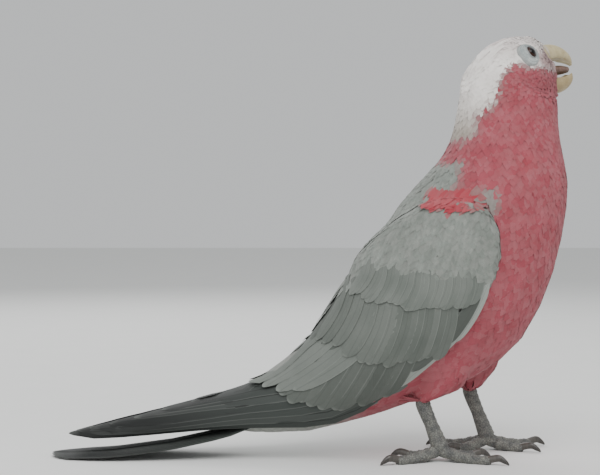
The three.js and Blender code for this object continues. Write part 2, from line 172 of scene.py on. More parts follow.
floor_mesh = bpy.data.meshes.new("floor")
bm = bmesh.new()
bmesh.ops.create_grid(bm, x_segments=1, y_segments=1, size=FLOOR_REACH)
bm.to_mesh(floor_mesh)
bm.free()
floor = bpy.data.objects.new("floor", floor_mesh)
floor.data.materials.append(paper)
collection.objects.link(floor)
print("floor:", round(floor.dimensions.x, 1), "m wide")

# %% Lamps
# place and target in metres, width in metres, power in watts
LAMPS = {
    "key": ((0.25, -0.8, 1.2), (0, 0, 0.12), 1.1, 15),
    "fill": ((-0.9, -0.8, 0.5), (0, 0, 0.1), 1.2, 4),
    "back": ((-0.3, 1.0, 0.9), (0, 0, 0.12), 0.9, 7),
}
for title, (spot, target, size, power) in LAMPS.items():
    lamp = bpy.data.objects.new(title, bpy.data.lights.new(title, "AREA"))
    lamp.data.size = size
    lamp.data.energy = power
    collection.objects.link(lamp)
    aim(lamp, spot, target)
world = bpy.data.worlds.new("studio")
scene.world = world
world.use_nodes = True
sky = world.node_tree.nodes["Background"]
sky.inputs["Color"].default_value = linear("e9ebec")
sky.inputs["Strength"].default_value = 0.8
print("lamps:", ", ".join(LAMPS))

# %% [markdown]
# ## The skull and the line of the body
# Two guides run through the whole bird. The head has a frame of its own, forward, left and up from
# the middle of the skull, because it is turned and tipped. The spine is a curve from the skull to the
# root of the tail: the coat lies along it, and the unwrap of the feathers goes round and along it. The
# lie of a coat could be combed by hand, but a rule gives the same coat every time.

# %% The head's frame
SKULL = np.array((40, 7, 194))
HEAD_TURN = 35  # degrees to the bird's left
HEAD_TIP = -22  # about the left-right axis, so that a negative turn lifts the bill
HEAD_ROLL = -8
TURN = np.array(
    Matrix.Rotation(math.radians(HEAD_TURN), 3, "Z")
    @ Matrix.Rotation(math.radians(HEAD_TIP), 3, "Y")
    @ Matrix.Rotation(math.radians(HEAD_ROLL), 3, "X")
)


def in_head(points):
    """From forward, left and up in the head to the bird's millimetres."""
    return np.asarray(points, float) @ TURN.T + SKULL


def from_head(points):
    return (np.asarray(points, float) - SKULL) @ TURN


AHEAD = in_head((1, 0, 0)) - in_head((0, 0, 0))
DOWN = in_head((0, 0, -1)) - in_head((0, 0, 0))
print("the bill points along", np.round(AHEAD, 2))

# %% A smooth run through stations
def along(stations, t):
    """A smooth run through evenly spaced stations, each a row of numbers; t goes from 0 to 1."""
    rows = np.asarray(stations, float)
    t = np.clip(np.asarray(t, float), 0, 1) * (len(rows) - 1)
    i = np.minimum(t.astype(int), len(rows) - 2)
    u = (t - i)[..., None]
    a, b, c, d = (rows[np.clip(i + k, 0, len(rows) - 1)] for k in (-1, 0, 1, 2))
    lean, late, rise = (c - a) / 2, (d - b) / 2, c - b
    return b + u * (lean + u * (3 * rise - 2 * lean - late + u * (lean + late - 2 * rise)))


def smooth_step(value, low, high):
    """0 below low, 1 above high, and a soft S between them."""
    t = np.clip((np.asarray(value, float) - low) / (high - low), 0, 1)
    return t * t * (3 - 2 * t)


def unit(vectors):
    """The same directions, each one long."""
    return vectors / np.maximum(np.linalg.norm(vectors, axis=-1, keepdims=True), 1e-9)


print("half way through 0, 1, 4:", along([(0,), (1,), (4,)], [0.5])[0, 0])

# %% The spine
SPINE = [
    (43, 5, 194), (40.5, 2, 176), (40, 0.5, 158), (37.5, 0, 136), (29.5, 0, 116), (16, 0, 95),
    (-2, 0, 75.5), (-20, 0, 60), (-36, 0, 46), (-52, 0, 34), (-76, 0, 22), (-104, 0, 16),
]
SPINE_STEPS = 90
spine = along(SPINE, np.linspace(0, 1, SPINE_STEPS))
spine_way = np.gradient(spine, axis=0)
spine_way /= np.linalg.norm(spine_way, axis=1)[:, None]
spine_run = np.concatenate([[0], np.cumsum(np.linalg.norm(np.diff(spine, axis=0), axis=1))])
spine_back = np.cross((0, 1, 0), spine_way)
spine_back *= np.sign(-spine_back[:, :1] + 1e-9)
print("spine:", round(spine_run[-1]), "mm")

# %% Places by the spine
def by_spine(points):
    """For points in mm: the spine's nearest step, how far towards the back, and the angle from it."""
    gaps = points[:, None, :] - spine[None]
    step = np.argmin(np.einsum("ijk,ijk->ij", gaps, gaps), axis=1)
    reach = points - spine[step]
    back = np.einsum("ij,ij->i", reach, spine_back[step])
    return step, back, np.arctan2(reach[:, 1], back)


def unwrap(points):
    """Round and along the spine, both from 0 to 1."""
    step, _, angle = by_spine(points)
    return np.stack([0.5 + angle / (2 * math.pi), 0.02 + 0.96 * spine_run[step] / spine_run[-1]], axis=1)


print("the breast on the unwrap:", unwrap(np.array([(60.0, 0.0, 100.0)])).round(2)[0])

# %% [markdown]
# ## Markings
# A galah has a whitish cap that runs down the nape, a rose face, neck, breast and belly, a grey mantle
# and wings, and a paler rump. Each is a smooth function of the place on the bird, so the skin and the
# feathers ask the same functions and agree. Four weights come out: rose, pale cap, dark and glow, the
# last for the few hot spots such as the tuft at the shoulder. A painted texture could hold them too, but
# it would need an unwrap without seams, while a formula works anywhere in space. In each, distances from
# the edges of a marking are taken with plus inside, and the smallest one says how deep inside it is.

# %% The cap
# forward, up in the head's frame: the lower edge of the cap, which steps over the eye
CAP_EDGE = [
    (-40, -9), (-24, -5.5), (-17, -1), (-10, 4.2), (-4.5, 6.5), (1, 1.5), (9, -1.2), (18, -4.2), (34, -6),
]
CAP_BACK = 33  # how far behind the skull's middle the head's part of the cap reaches
NAPE_X = 22  # the cap's front edge on the side of the neck, at a height of 170
NAPE_TOP = 190  # the heights between which the cap covers the nape
NAPE_FOOT = 166
SOFT = 2.6  # half the width of the edge of a marking


def edge(distance, soft=SOFT):
    return smooth_step(distance, -soft, soft)


def cap_weight(points):
    head = from_head(points)
    edge_x, edge_z = np.array(CAP_EDGE).T
    on_head = head[:, 2] - np.interp(head[:, 0], edge_x, edge_z)
    on_head = np.minimum(on_head, head[:, 0] + CAP_BACK)
    _, back, _ = by_spine(points)
    front = NAPE_X + 0.15 * (points[:, 2] - 170) - points[:, 0]
    on_nape = np.minimum(front, points[:, 2] - NAPE_FOOT)
    on_nape = np.minimum(on_nape, NAPE_TOP - points[:, 2])
    return np.maximum(edge(on_head), edge(np.minimum(on_nape, back - 4), 3))


print("cap over and under the eye:", cap_weight(in_head([(0, -18, 14), (0, -20, -8)])).round(2))

# %% Mantle, shoulder and rump
MANTLE_TOP = 154.5
MANTLE_FRONT = 13  # the mantle's front edge at a height of 140
PATCH = (28, 136)  # a small grey patch in front of the shoulder, x and z
TUFT = (3, 27)  # the rose tuft at the bend of the wing, from x to x
TUFT_MIDDLE, TUFT_HALF = 134.4, 4.9
BREAST_SPOT = (46, 156)  # a warmer spot on the right of the breast, x and z
RUMP_RUN = (175, 200)  # where the grey of the rump comes in, in mm along the spine


def mantle_weight(points):
    _, back, _ = by_spine(points)
    front = MANTLE_FRONT + 0.3 * (points[:, 2] - 140) - points[:, 0]
    behind = np.minimum(np.minimum(front, MANTLE_TOP - points[:, 2]), back - 3)
    patch = 5 - np.hypot(points[:, 0] - PATCH[0], (points[:, 2] - PATCH[1]) / 1.4)
    patch = np.minimum(patch, np.abs(points[:, 1]) - 22)
    return np.maximum(edge(behind, 2.5), 0.85 * edge(patch, 1.5))


def glow_weight(points):
    side = np.abs(points[:, 1]) - 14
    ends = np.minimum(points[:, 0] - TUFT[0], TUFT[1] - points[:, 0])
    tuft = np.minimum(ends, TUFT_HALF - np.abs(points[:, 2] - TUFT_MIDDLE))
    spot = 5 - np.hypot(points[:, 0] - BREAST_SPOT[0], (points[:, 2] - BREAST_SPOT[1]) * 1.3)
    spot = np.minimum(spot, -points[:, 1])
    return np.maximum(edge(np.minimum(tuft, side), 1.5), 0.25 * edge(spot, 3))


def rump_weight(points):
    step, _, _ = by_spine(points)
    return smooth_step(spine_run[step], *RUMP_RUN)


print("rump at the tail's root:", rump_weight(np.array([(-76.0, 0.0, 40.0)])).round(2)[0])

# %% All markings of a place
def marks_at(points, wing):
    """Rose, pale, dark and glow weights; wing says how much a place belongs to the folded wing."""
    under_tuft = points[:, 2] < 129.5
    cap = cap_weight(points)
    glow = glow_weight(points) * (1 - wing * under_tuft)
    grey = np.maximum(np.maximum(mantle_weight(points), wing), rump_weight(points))
    rose = np.maximum((1 - cap) * (1 - grey), glow * (glow > 0.5))
    head = from_head(points)
    # the cap is half rose between the eye and the bill, and faintly flushed on the forehead
    lore = smooth_step(head[:, 0], 6, 15) * smooth_step(9 - head[:, 2], 0, 6)
    rose = np.maximum(rose, 0.5 * cap * lore)
    flush = smooth_step(-np.linalg.norm(head - (9, 0, 10), axis=1), -24, -14)
    rose = np.maximum(rose, 0.12 * cap * flush)
    pale = np.maximum(cap, 0.12 * rump_weight(points) * (1 - wing))
    # the wing darkens downwards, partly in its own grey and partly with painted shade, and the cap darkens
    # towards the foot of the nape
    dark = wing * smooth_step(-points[:, 2], -108, -38)
    dark = np.maximum(dark, cap * smooth_step(-points[:, 2], -192, -166))
    return np.stack([rose, pale * (1 - rose), dark, glow], axis=1)


print("marks of the breast:", marks_at(np.array([(60.0, 0.0, 120.0)]), np.zeros(1)).round(2)[0])

# %% [markdown]
# ## The form that the wing lies on
# A folded wing lies close round the body, so that its surface is one smooth tube that narrows towards
# the tips. The solids of the wing could carry the feathers, but they are stepped where one row covers
# the next. A tube drawn through a few rings has no steps, and is only used to lay things on.

# %% A guide tube
def guide(point, steps, sides):
    """A tree of the tube through point(t, angle), to lay things on."""
    turns = np.arange(sides) * 2 * math.pi / sides
    t, angle = np.meshgrid(np.linspace(0, 1, steps), turns, indexing="ij")
    places = point(t.ravel(), angle.ravel())

    def corner(i, j):
        return i * sides + j % sides

    faces = [
        (corner(i, j), corner(i, j + 1), corner(i + 1, j + 1), corner(i + 1, j))
        for i in range(steps - 1) for j in range(sides)
    ]
    return BVHTree.FromPolygons([Vector(p) for p in places], faces)


pipe = guide(lambda t, angle: np.stack([t, np.sin(angle), np.cos(angle)], axis=1), 2, 36)
met = pipe.ray_cast(Vector((0.5, 0, 3)), Vector((0, 0, -1)))[0]
print("a pipe of radius 1 is met from above at a height of", round(met.z, 2))

# %% The tube of the folded wing
# back x and z, belly x and z, and half width of rings from the shoulder to the wing tips
WING_FORM = [
    (5, 154, 70, 113, 40), (-14, 135, 62, 86, 43), (-30, 115, 45, 60, 43.5), (-44, 93, 22, 42, 42),
    (-56, 73, -2, 30, 37), (-68, 57, -26, 20, 30), (-84, 44, -50, 11, 23.5), (-106, 35.5, -80, 9, 20.5),
    (-134, 28, -116, 9, 18), (-163, 21, -154, 6, 15), (-190, 13, -187, 2, 10),
]


def wing_point(t, angle):
    back_x, back_z, belly_x, belly_z, half = along(WING_FORM, t).T
    lean = np.cos(angle)
    x = (back_x + belly_x) / 2 + (back_x - belly_x) / 2 * lean
    z = (back_z + belly_z) / 2 + (back_z - belly_z) / 2 * lean
    return np.stack([x, half * np.sin(angle), z], axis=1)


wing_form = guide(wing_point, 70, 72)
print("width at the shoulder and at the tips:", 2 * WING_FORM[0][-1], 2 * WING_FORM[-1][-1], "mm")


def rows_top(x):
    """Height on the wing under which rows of longer feathers take over from the small coverts."""
    return np.interp(x, (-50, 16), (100, 90))


# %% [markdown]
# ## Skin
# Under the feathers a bird is one soft body, so the seams between the solids must not show. Booleans
# could join the solids, but would leave their creases, and a new sculpt would lose their outline. Here
# head, neck, trunk, thighs and rump are copied together with the fleshy part of the wings, welded by a
# voxel remesh and relaxed, which closes the thin gaps. Then every point sinks in by the depth of the
# coat there: least on the face, most where the long feathers of the wing lie.

# %% Solids as trees of triangles
FLESH = ("head", "neck", "trunk", "tail_coverts", "thigh_right", "thigh_left")
WING_BEDS = tuple(f"wing_{side}_{row}" for side in ("right", "left") for row in ("coverts", "secondaries"))


def welded(names):
    """A bmesh of some solids, their loose triangles joined. The solids themselves stay as they are."""
    made = bmesh.new()
    for name in names:
        made.from_mesh(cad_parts[name].data)
    bmesh.ops.remove_doubles(made, verts=made.verts, dist=0.01 * MM)
    return made


def tree_of(made):
    places = [Vector(p) for p in home([v.co for v in made.verts])]
    return BVHTree.FromPolygons(places, [[v.index for v in f.verts] for f in made.faces])


def nearest(tree, points):
    """Nearest places, their normals and distances, in mm."""
    found = [tree.find_nearest(p) for p in map(Vector, points)]
    spots = np.array([f[0] for f in found])
    return spots, np.array([f[1] for f in found]), np.array([f[3] for f in found])


flesh_tree = tree_of(welded(FLESH))
wing_tree = tree_of(welded(WING_BEDS))


def wing_share(points):
    """1 where the wing is nearer than the body, 0 where the body is."""
    _, _, to_wing = nearest(wing_tree, points)
    _, _, to_flesh = nearest(flesh_tree, points)
    return smooth_step(to_flesh - to_wing, -0.1, 0.5)


print("bend of the wing, share of the wing:", wing_share([(20.0, -40.0, 120.0)])[0])

# %% Pieces and their points
def new_piece(title, mesh):
    piece = bpy.data.objects.new(title, mesh)
    collection.objects.link(piece)
    return piece


def settled(piece):
    """The piece's mesh with its modifiers worked in."""
    graph = bpy.context.evaluated_depsgraph_get()
    done = bpy.data.meshes.new_from_object(piece.evaluated_get(graph))
    piece.modifiers.clear()
    piece.data = done
    return piece


def points_of(mesh, what="co"):
    """All places of a mesh, or what="normal" its normals, as an array."""
    flat = np.empty(len(mesh.vertices) * 3)
    mesh.vertices.foreach_get(what, flat)
    return flat.reshape(-1, 3)


print("points of the trunk's solid:", len(points_of(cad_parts["trunk"].data)))

# %% Weld the skin
VOXEL = 1.5
skin_mesh = bpy.data.meshes.new("skin")
made = welded(FLESH + WING_BEDS)
made.to_mesh(skin_mesh)
made.free()
skin = new_piece("skin", skin_mesh)
weld = skin.modifiers.new("weld", "REMESH")
weld.mode, weld.voxel_size = "VOXEL", VOXEL * MM
relax = skin.modifiers.new("relax", "SMOOTH")
relax.factor, relax.iterations = 0.5, 3
settled(skin)
print("skin:", len(skin.data.polygons), "faces")

# %% Round off the throat
# The solids of head and neck meet in a crease under the chin, so the skin is relaxed further there.
THROAT_REACH = 20
made = bmesh.new()
made.from_mesh(skin.data)
throat = in_head((6, 0, -24))
reach = np.linalg.norm(home([v.co for v in made.verts]) - throat, axis=1)
soft = [v for v, d in zip(made.verts, reach) if d < THROAT_REACH]
for _ in range(14):
    bmesh.ops.smooth_vert(made, verts=soft, factor=0.5, use_axis_x=True, use_axis_y=True, use_axis_z=True)
print("relaxed under the chin:", len(soft), "points")
made.to_mesh(skin.data)
made.free()

# %% Sink the skin under the coat
FACE_COAT, BODY_COAT = 0.45, 0.5  # depth on the face, and how much deeper it gets behind the face
COVERT_COAT, ROW_COAT = 0.7, 1.3  # the same for the wing's small coverts and its rows
ROW_BED = 2.8  # how far under the wing's form the skin lies below the rows of long feathers


def coat_depth(points, wing):
    face = np.linalg.norm(from_head(points) - (14, 0, 0), axis=1)
    body = FACE_COAT + BODY_COAT * smooth_step(face, 14, 55)
    rows = smooth_step(rows_top(points[:, 0]) - points[:, 2], -4, 6)
    return body * (1 - wing) + (COVERT_COAT + ROW_COAT * rows) * wing


skin_points = home(points_of(skin.data))
skin_wing = wing_share(skin_points)
skin_points -= points_of(skin.data, "normal") * coat_depth(skin_points, skin_wing)[:, None]
spots, outs, _ = nearest(wing_form, skin_points)
over = ((skin_points - spots) * outs).sum(axis=1) + ROW_BED
below_rows = skin_points[:, 2] < rows_top(skin_points[:, 0]) - 4
under_rows = (skin_wing > 0.2) & below_rows & (over > 0)
skin_points[under_rows] -= outs[under_rows] * over[under_rows, None]
skin.data.vertices.foreach_set("co", place(skin_points).ravel())
skin.data.update()
print("sunk below the rows of the wing:", int(under_rows.sum()), "points")

# %% Paint the skin
def paint(mesh, title, values):
    """Four numbers on every point of a mesh."""
    layer = mesh.attributes.new(title, "FLOAT_COLOR", "POINT")
    layer.data.foreach_set("color", np.asarray(values, float).ravel())


paint(skin.data, "plumage", marks_at(skin_points, skin_wing))
skin.data.polygons.foreach_set("use_smooth", np.ones(len(skin.data.polygons), bool))
print("painted:", len(skin_points), "points")

# %% [markdown]
# ## One feather, many times
# A feather is a shaft with two vanes, less than half a millimetre thick. One could be modelled once and
# scattered as instances, but a flat copy stands off a round body. So each one is made as a closed leaf:
# a small grid of faces over it, the same grid under it, joined at the rim. The leaf is then dropped on
# the skin point by point, so that it bends with the body, and it rises from just under the skin at its
# root to the height of the coat at its tip. Arrays make all of them at once.

# %% The leaf of a feather
def leaf(lines, across, width, tip):
    """Across, along and height of a closed leaf's points, and its faces."""
    rows, columns = len(lines), len(across)
    top = [(a * width(b), b * tip(a), 0.0) for b in lines for a in across]
    inner = [i * columns + j for i in range(1, rows - 1) for j in range(1, columns - 1)]
    under = {k: len(top) + n for n, k in enumerate(inner)}
    shape = [(a, b, 1.0 if k in under else 0.0) for k, (a, b, _) in enumerate(top)]
    shape += [(shape[k][0], shape[k][1], -1.0) for k in inner]
    faces = []
    for i in range(rows - 1):
        for j in range(columns - 1):
            k = i * columns + j
            quad = (k, k + 1, k + columns + 1, k + columns)
            faces += [quad, tuple(under.get(n, n) for n in reversed(quad))]
    return np.array(shape), np.array(faces), rows * columns


def rounded(b):
    """Half width of a body feather at b along it, as a share of its widest."""
    return float(np.interp(b, (0, 0.42, 0.8, 1), (0.6, 1, 0.86, 0.36)))


def pointed(b):
    return 0.3 + 0.7 * min(b / 0.3, 1) if b < 0.5 else 1 - 0.75 * ((b - 0.5) / 0.5) ** 2


DOWNY = leaf((0, 0.42, 0.8, 1), (-1, -0.36, 0.36, 1), rounded, lambda a: 1 - 0.1 * a * a)
PLUME = leaf(np.linspace(0, 1, 7), (-1, -0.3, 0.3, 1), pointed, lambda a: 1 - 0.05 * a * a)
print("faces of a body feather:", len(DOWNY[1]), "and of a long plume:", len(PLUME[1]))

# %% Lay leaves on the skin
skin_tree = BVHTree.FromPolygons(
    [Vector(p) for p in skin_points], [list(p.vertices) for p in skin.data.polygons]
)
rng = np.random.default_rng(11)
ROOT_DEPTH = 0.3  # how far under the skin a root sits


def drop(points):
    """The nearest places on the skin and its normals there."""
    spots, outs, _ = nearest(skin_tree, points.reshape(-1, 3))
    return spots.reshape(points.shape), outs.reshape(points.shape)


def feathers(form, roots, normals, ways, lengths, widths, rise, thick=0.055, fringe=0.035):
    """Points of many leaves laid on the skin, leaf by leaf, and where each point is on its leaf."""
    shape, faces, rim = form
    count = len(roots)
    side = unit(np.cross(ways, normals))
    b = np.repeat(shape[None, :, 1], count, axis=0)
    last = shape[:, 1] > 0.7
    b[:, last] *= 1 + fringe * rng.standard_normal((count, last.sum()))
    above = [int(np.argmin(np.abs(shape[:rim, :2] - s).sum(axis=1))) for s in shape[rim:, :2]]
    b[:, rim:] = b[:, above]  # a point of the underside stays under its point of the top
    a = shape[None, :, 0] * widths[:, None] / 2
    flat = roots[:, None] + side[:, None] * a[..., None] + ways[:, None] * (b * lengths[:, None])[..., None]
    spots, lift = drop(flat)
    lift = unit(lift + normals[:, None])
    lean = rise[:, None] * rng.uniform(-0.08, 0.08, (count, 1)) * shape[None, :, 0]
    climb = 1 - (1 - np.minimum(b, 1)) ** 2.6
    height = -ROOT_DEPTH + (rise[:, None] + ROOT_DEPTH) * climb + lean * climb + thick * shape[None, :, 2]
    return spots + lift * height[..., None], faces, shape


print("skin nearest to x 60, z 100:", drop(np.array([(60.0, 0.0, 100.0)]))[0].round(1)[0])

# %% A piece made of feathers
BAKE_PATCH = 0.003  # width of one feather's patch on the unwrap


def leaf_mesh(title, points, faces, shape, marks, spots):
    """One mesh from many leaves. marks are four numbers a leaf, spots the root's place on the unwrap."""
    count, size = points.shape[:2]
    every = (faces[None] + np.arange(count)[:, None, None] * size).reshape(-1, 4)
    mesh = bpy.data.meshes.new(title)
    mesh.from_pydata(place(points.reshape(-1, 3)).tolist(), [], every.tolist())
    paint(mesh, "plumage", np.repeat(marks, size, axis=0))
    corner = every.ravel()
    vane = np.tile(np.stack([0.5 + shape[:, 0] / 2, shape[:, 1]], axis=1), (count, 1))
    patch = np.repeat(spots[:, None], size, axis=1) + (vane.reshape(count, size, 2) - 0.5) * BAKE_PATCH
    for name, values in (("OFBake", patch.reshape(-1, 2)), ("Vane", vane)):
        mesh.uv_layers.new(name=name).data.foreach_set("uv", values[corner].ravel())
    mesh.polygons.foreach_set("use_smooth", np.ones(len(every), bool))
    mesh.set_sharp_from_angle(angle=math.radians(70))
    return mesh


def feather_piece(title, points, faces, shape, four, spots, shades):
    """A piece of many leaves; each has its four weights, its spot on the unwrap and its own shade."""
    mesh = leaf_mesh(title, points, faces, shape, four, spots)
    tone = mesh.attributes.new("shade", "FLOAT", "POINT")
    tone.data.foreach_set("value", np.repeat(shades, points.shape[1]))
    triangles = 2 * len(mesh.polygons)
    print(title, len(points), "feathers,", triangles, "triangles")
    return new_piece(title, mesh)


print("a feather covers", BAKE_PATCH, "of the width of the unwrap")

# %% [markdown]
# ## The folded wing
# Over the small coverts' lower edge come rows of longer feathers: median coverts, greater coverts, the
# quills of the forearm, and under all of these the dark primaries that reach down the tail. They could
# be scattered like the coat, but they are few and large and their order shows, so each gets its own
# path, drawn in side view on the smooth form of the folded wing. A row lies like roof slats: every
# feather is tipped so that one edge lies over its neighbour and the other under it.

# %% A place on the wing
def on_wing(x, z):
    """The place on the right side of the wing's form that is seen at x, z from the side."""
    hit = wing_form.ray_cast(Vector((x, -90, z)), Vector((0, 1, 0)))
    if hit[0] is None or hit[0][1] > -3:
        hit = wing_form.find_nearest(Vector((x, -8.5, z)))
    return np.array(hit[0])


print("on the wing at x -20, z 80:", on_wing(-20, 80).round(1))

# %% A long feather
QUILL_LINES = np.linspace(0, 1, 15)
QUILL_ACROSS = (-1, -0.62, -0.34, 0.0, 0.4, 0.75, 1)
SHAFT = -0.3  # the shaft lies nearer to the leading edge
SHAFT_RISE = 0.05


def quill_width(b):
    """Half width at b along the feather: narrow at the root, rounded at the end."""
    taper = math.sqrt(max(1 - ((b - 0.72) / 0.3) ** 2, 0.0)) if b > 0.72 else 1.0
    return max(0.3 + 0.7 * min(b / 0.25, 1) ** 0.7, 0.05) * max(taper, 0.34)


QUILL = leaf(QUILL_LINES, QUILL_ACROSS, quill_width, lambda a: 1 - 0.03 * a * a)


def quill(path, width, level, tilt=0.24, thick=0.09, tip_rise=0.0):
    """Points of one long feather whose middle follows path, a few x, z seen from the side."""
    shape, _, _ = QUILL
    middle = np.array([on_wing(x, z) for x, z in along(path, QUILL_LINES)])
    _, out, _ = nearest(wing_form, middle)
    way = np.gradient(middle, axis=0)
    rows, ways, outs = (
        np.stack([np.interp(shape[:, 1], QUILL_LINES, line) for line in lines.T], axis=1)
        for lines in (middle, way, out)
    )
    ways, outs = unit(ways), unit(outs)
    side = unit(np.cross(ways, outs))
    spots, _, _ = nearest(wing_form, rows + side * (shape[:, :1] * width / 2))
    ridge = SHAFT_RISE * np.exp(-((shape[:, 0] - SHAFT) / 0.16) ** 2) * (shape[:, 2] >= 0)
    height = level + tip_rise * shape[:, 1] - tilt * shape[:, 0] + thick * shape[:, 2] + ridge
    return spots + outs * height[:, None]


print("faces of a long feather:", len(QUILL[1]))

# %% Curves for the tips and roots of a row
def arc(start, end, bow, t):
    """A place on a bowed line, t from 0 at its start to 1 at its end."""
    start, end = np.array(start, float), np.array(end, float)
    run = unit(end - start)
    return start + (end - start) * t + np.array((-run[1], run[0])) * bow * math.sin(math.pi * t)


def slope_back(tip, length, degrees):
    """The root of a feather of a given length and slope, from its tip."""
    slope = math.radians(degrees)
    return np.array(tip) + length * np.array((math.cos(slope), math.sin(slope)))


def between(t, ends):
    return np.interp(t, (0, 1), ends)


print("middle of a bowed line:", arc((0, 0), (10, 0), 2, 0.5))

# %% Three rows of the wing
# how many feathers; the line of their tips, as x, z of its ends and its bow; length, slope in degrees and
# width at both ends of the row; how high the row lies, and how far its tips rise
ROWS = {
    "median": (19, (17, 79), (-45, 86), 4, (20, 22), (84, 66), (8.2, 8.6), -1.1, 0.55),
    "greater": (15, (2, 54), (-61, 63), 8, (38, 36), (82, 64), (9.4, 10), -1.4, 0.6),
    "secondary": (13, (-22, 33), (-90, 42.5), 11, (52, 58), (72, 54), (12, 13), -1.9, 0.65),
}
BEND = 2.0  # how far the middle of each feather bows forward
TIP_WANDER, BEND_WANDER = 0.9, 0.4  # real rows are never quite even


def row_of(count, start, end, bow, lengths, slopes, widths, level, rise):
    made = []
    for k in range(count):
        t = (k + 0.5) / count
        tip = arc(start, end, bow, t) + rng.normal(0, TIP_WANDER, 2)
        root = slope_back(tip, between(t, lengths), between(t, slopes))
        middle = (root + tip) / 2 + np.array((BEND + rng.normal(0, BEND_WANDER), 0))
        made.append(quill([root, middle, tip], between(t, widths), level, tip_rise=rise))
    return made


wing_rows = {title: row_of(*values) for title, values in ROWS.items()}
print("feathers in the rows:", {title: len(made) for title, made in wing_rows.items()})

# %% Primaries
PRIMARY_TIPS = ((-186, 13.5), (-182, 15), (-175, 16.5), (-165, 19), (-152, 22), (-138, 26), (-123, 30))
PRIMARY_LOW = ((-10, 52), (-45, 22.5), (-98, 21))  # path of the lowest one, as x, z from its root
PRIMARY_HIGH = ((-34, 70), (-60, 52), (-92, 40))  # and of the highest one
TIPS_MEET = 3.2  # how far the ends of both wings lean in to meet over the tail
primaries = []
for k, tip in enumerate(PRIMARY_TIPS):
    share = k / (len(PRIMARY_TIPS) - 1)
    path = [np.array(a) * (1 - share) + np.array(b) * share for a, b in zip(PRIMARY_LOW, PRIMARY_HIGH)]
    halfway = (path[-1] + np.array(tip)) / 2 - (0, 1 - share)
    made = quill([*path, halfway, tip], 13, -2.6, tilt=0.3, thick=0.16, tip_rise=0.6)
    made[:, 1] += TIPS_MEET * smooth_step(QUILL[0][:, 1], 0.35, 0.85)
    primaries.append(made)
print("longest primary ends at x", round(primaries[0][:, 0].min(), 1))

# %% Small quills at the wing's lower edge
# They run along the lower front edge from the wrist down: three pale ones, and two dark ones over
# their roots.
edge_quills = [
    quill([(25, 92), (18.5, 76), (9, 61)], 6, -1.2),
    quill([(18, 78), (9, 64), (-6, 48.5)], 6, -1.5),
    quill([(9, 65), (-4, 51.5), (-20, 36.5)], 7, -1.8),
    quill([(20.5, 88), (14, 74), (4.5, 60)], 6.5, -1.0),
    quill([(12.5, 76), (3.5, 62), (-12, 46)], 7, -1.3),
]
EDGE_MARKS = [(0, 0.9, 0, 0)] * 3 + [(0, 0, 1, 0)] * 2
print("edge quills:", len(edge_quills))

# %% [markdown]
# ## Tertials, and both wings
# The fold between the wing and the back is closed by a few long, loose feathers, the tertials, whose
# roots start under the coat. They could be left out, but the roots of the other rows would show from
# above. Each has a path of its own again. Then every set of feathers becomes one piece on the right,
# and the same one mirrored on the left, with its faces turned over so that they still point outwards.

# %% Tertials
TERTIALS = (
    [(-37, 99), (-60, 63.5), (-93, 39.5)], [(-31, 96), (-55, 61), (-86, 37.5)],
    [(-24, 93), (-49, 58.5), (-79, 36)], [(-17, 90), (-42, 57), (-71, 37)],
)
tertials = [quill(path, 11.5, -2.3, tip_rise=1.6) for path in TERTIALS]
print("tertials:", len(tertials))

# %% Both wings
def long_feathers(title, quills, four, mirror):
    """One piece from quills; four holds the weights of each, and mirror makes it the left wing's."""
    points = np.array(quills)
    shape, faces, _ = QUILL
    if mirror:
        points = points * (1, -1, 1)
        faces = faces[:, ::-1]
    shades = rng.uniform(0, 1, len(points))
    return feather_piece(title, points, faces, shape, np.array(four, float), unwrap(points[:, 0]), shades)


def marked(quills, pale, dark, glow=0):
    """The same weights for every feather of a row."""
    return [(0, pale, dark, glow)] * len(quills)


median, greater, secondary = wing_rows["median"], wing_rows["greater"], wing_rows["secondary"]
# rows further down the wing get more of the dark weight: partly their own darker grey, partly painted shade
# on the lower wing
sets = {
    "tertials": (tertials, marked(tertials, 0.12, 0.2)),
    "greater_coverts": (median + greater, marked(median, 0, 0) + marked(greater, 0, 0.35)),
    "secondaries": (secondary + edge_quills, marked(secondary, 0, 0.75) + EDGE_MARKS),
    "primaries": (primaries, marked(primaries, 0, 1, 1)),
}
flight = {}
for side, mirror in (("right", False), ("left", True)):
    for title, (quills, four) in sets.items():
        flight[f"{title}_{side}"] = long_feathers(f"{title}_{side}", quills, four, mirror)


# %% [markdown]
# ## Where the feathers grow, and which way they lie
# Real feathers stand in rows a few millimetres apart, closest on the face. They could grow from the
# points of a grid, but its lines would show. Here roots are drawn at random over the skin and thinned
# until none is nearer to another than the spacing asked for there. Each feather points away from the
# bill on the head and along the spine on the rest of the body; on the wing it points down and back,
# more steeply at the front. No feather grows where skin is bare, or where a longer one covers it.

# %% Where the eyes are
EYE = {side: in_head((4.6, side * 15.4, 7.4)) for side in (-1, 1)}
EYE_ROOT = in_head((0, 0, 2))
RING_OUT = (5.4, 6.7)  # reach of the bare skin round the eye, fore and aft and up and down
RING_SHIFT = -1.6  # how far back its outside sits from the eye's middle
RING_RISE = 0.5  # and how far up
print("eyes apart:", round(np.linalg.norm(EYE[1] - EYE[-1]), 1), "mm")

# %% How close the feathers stand
FACE = in_head((15, 0, 0))


def spacing_at(points, wing):
    """Distance from one root to the next, in mm."""
    face = np.linalg.norm(points - FACE, axis=1)
    body = np.interp(face, (12, 24, 45, 80, 130), (0.78, 1.0, 1.4, 1.75, 2.0))
    shoulder = np.hypot(points[:, 0] - 26, points[:, 2] - 118)
    return body * (1 - wing) + np.interp(shoulder, (0, 30, 70, 100), (1.4, 1.6, 2.1, 2.5)) * wing


face_and_breast = np.array([FACE, (60, 0, 100)])
print("spacing on face and breast:", spacing_at(face_and_breast, np.zeros(2)).round(2), "mm")

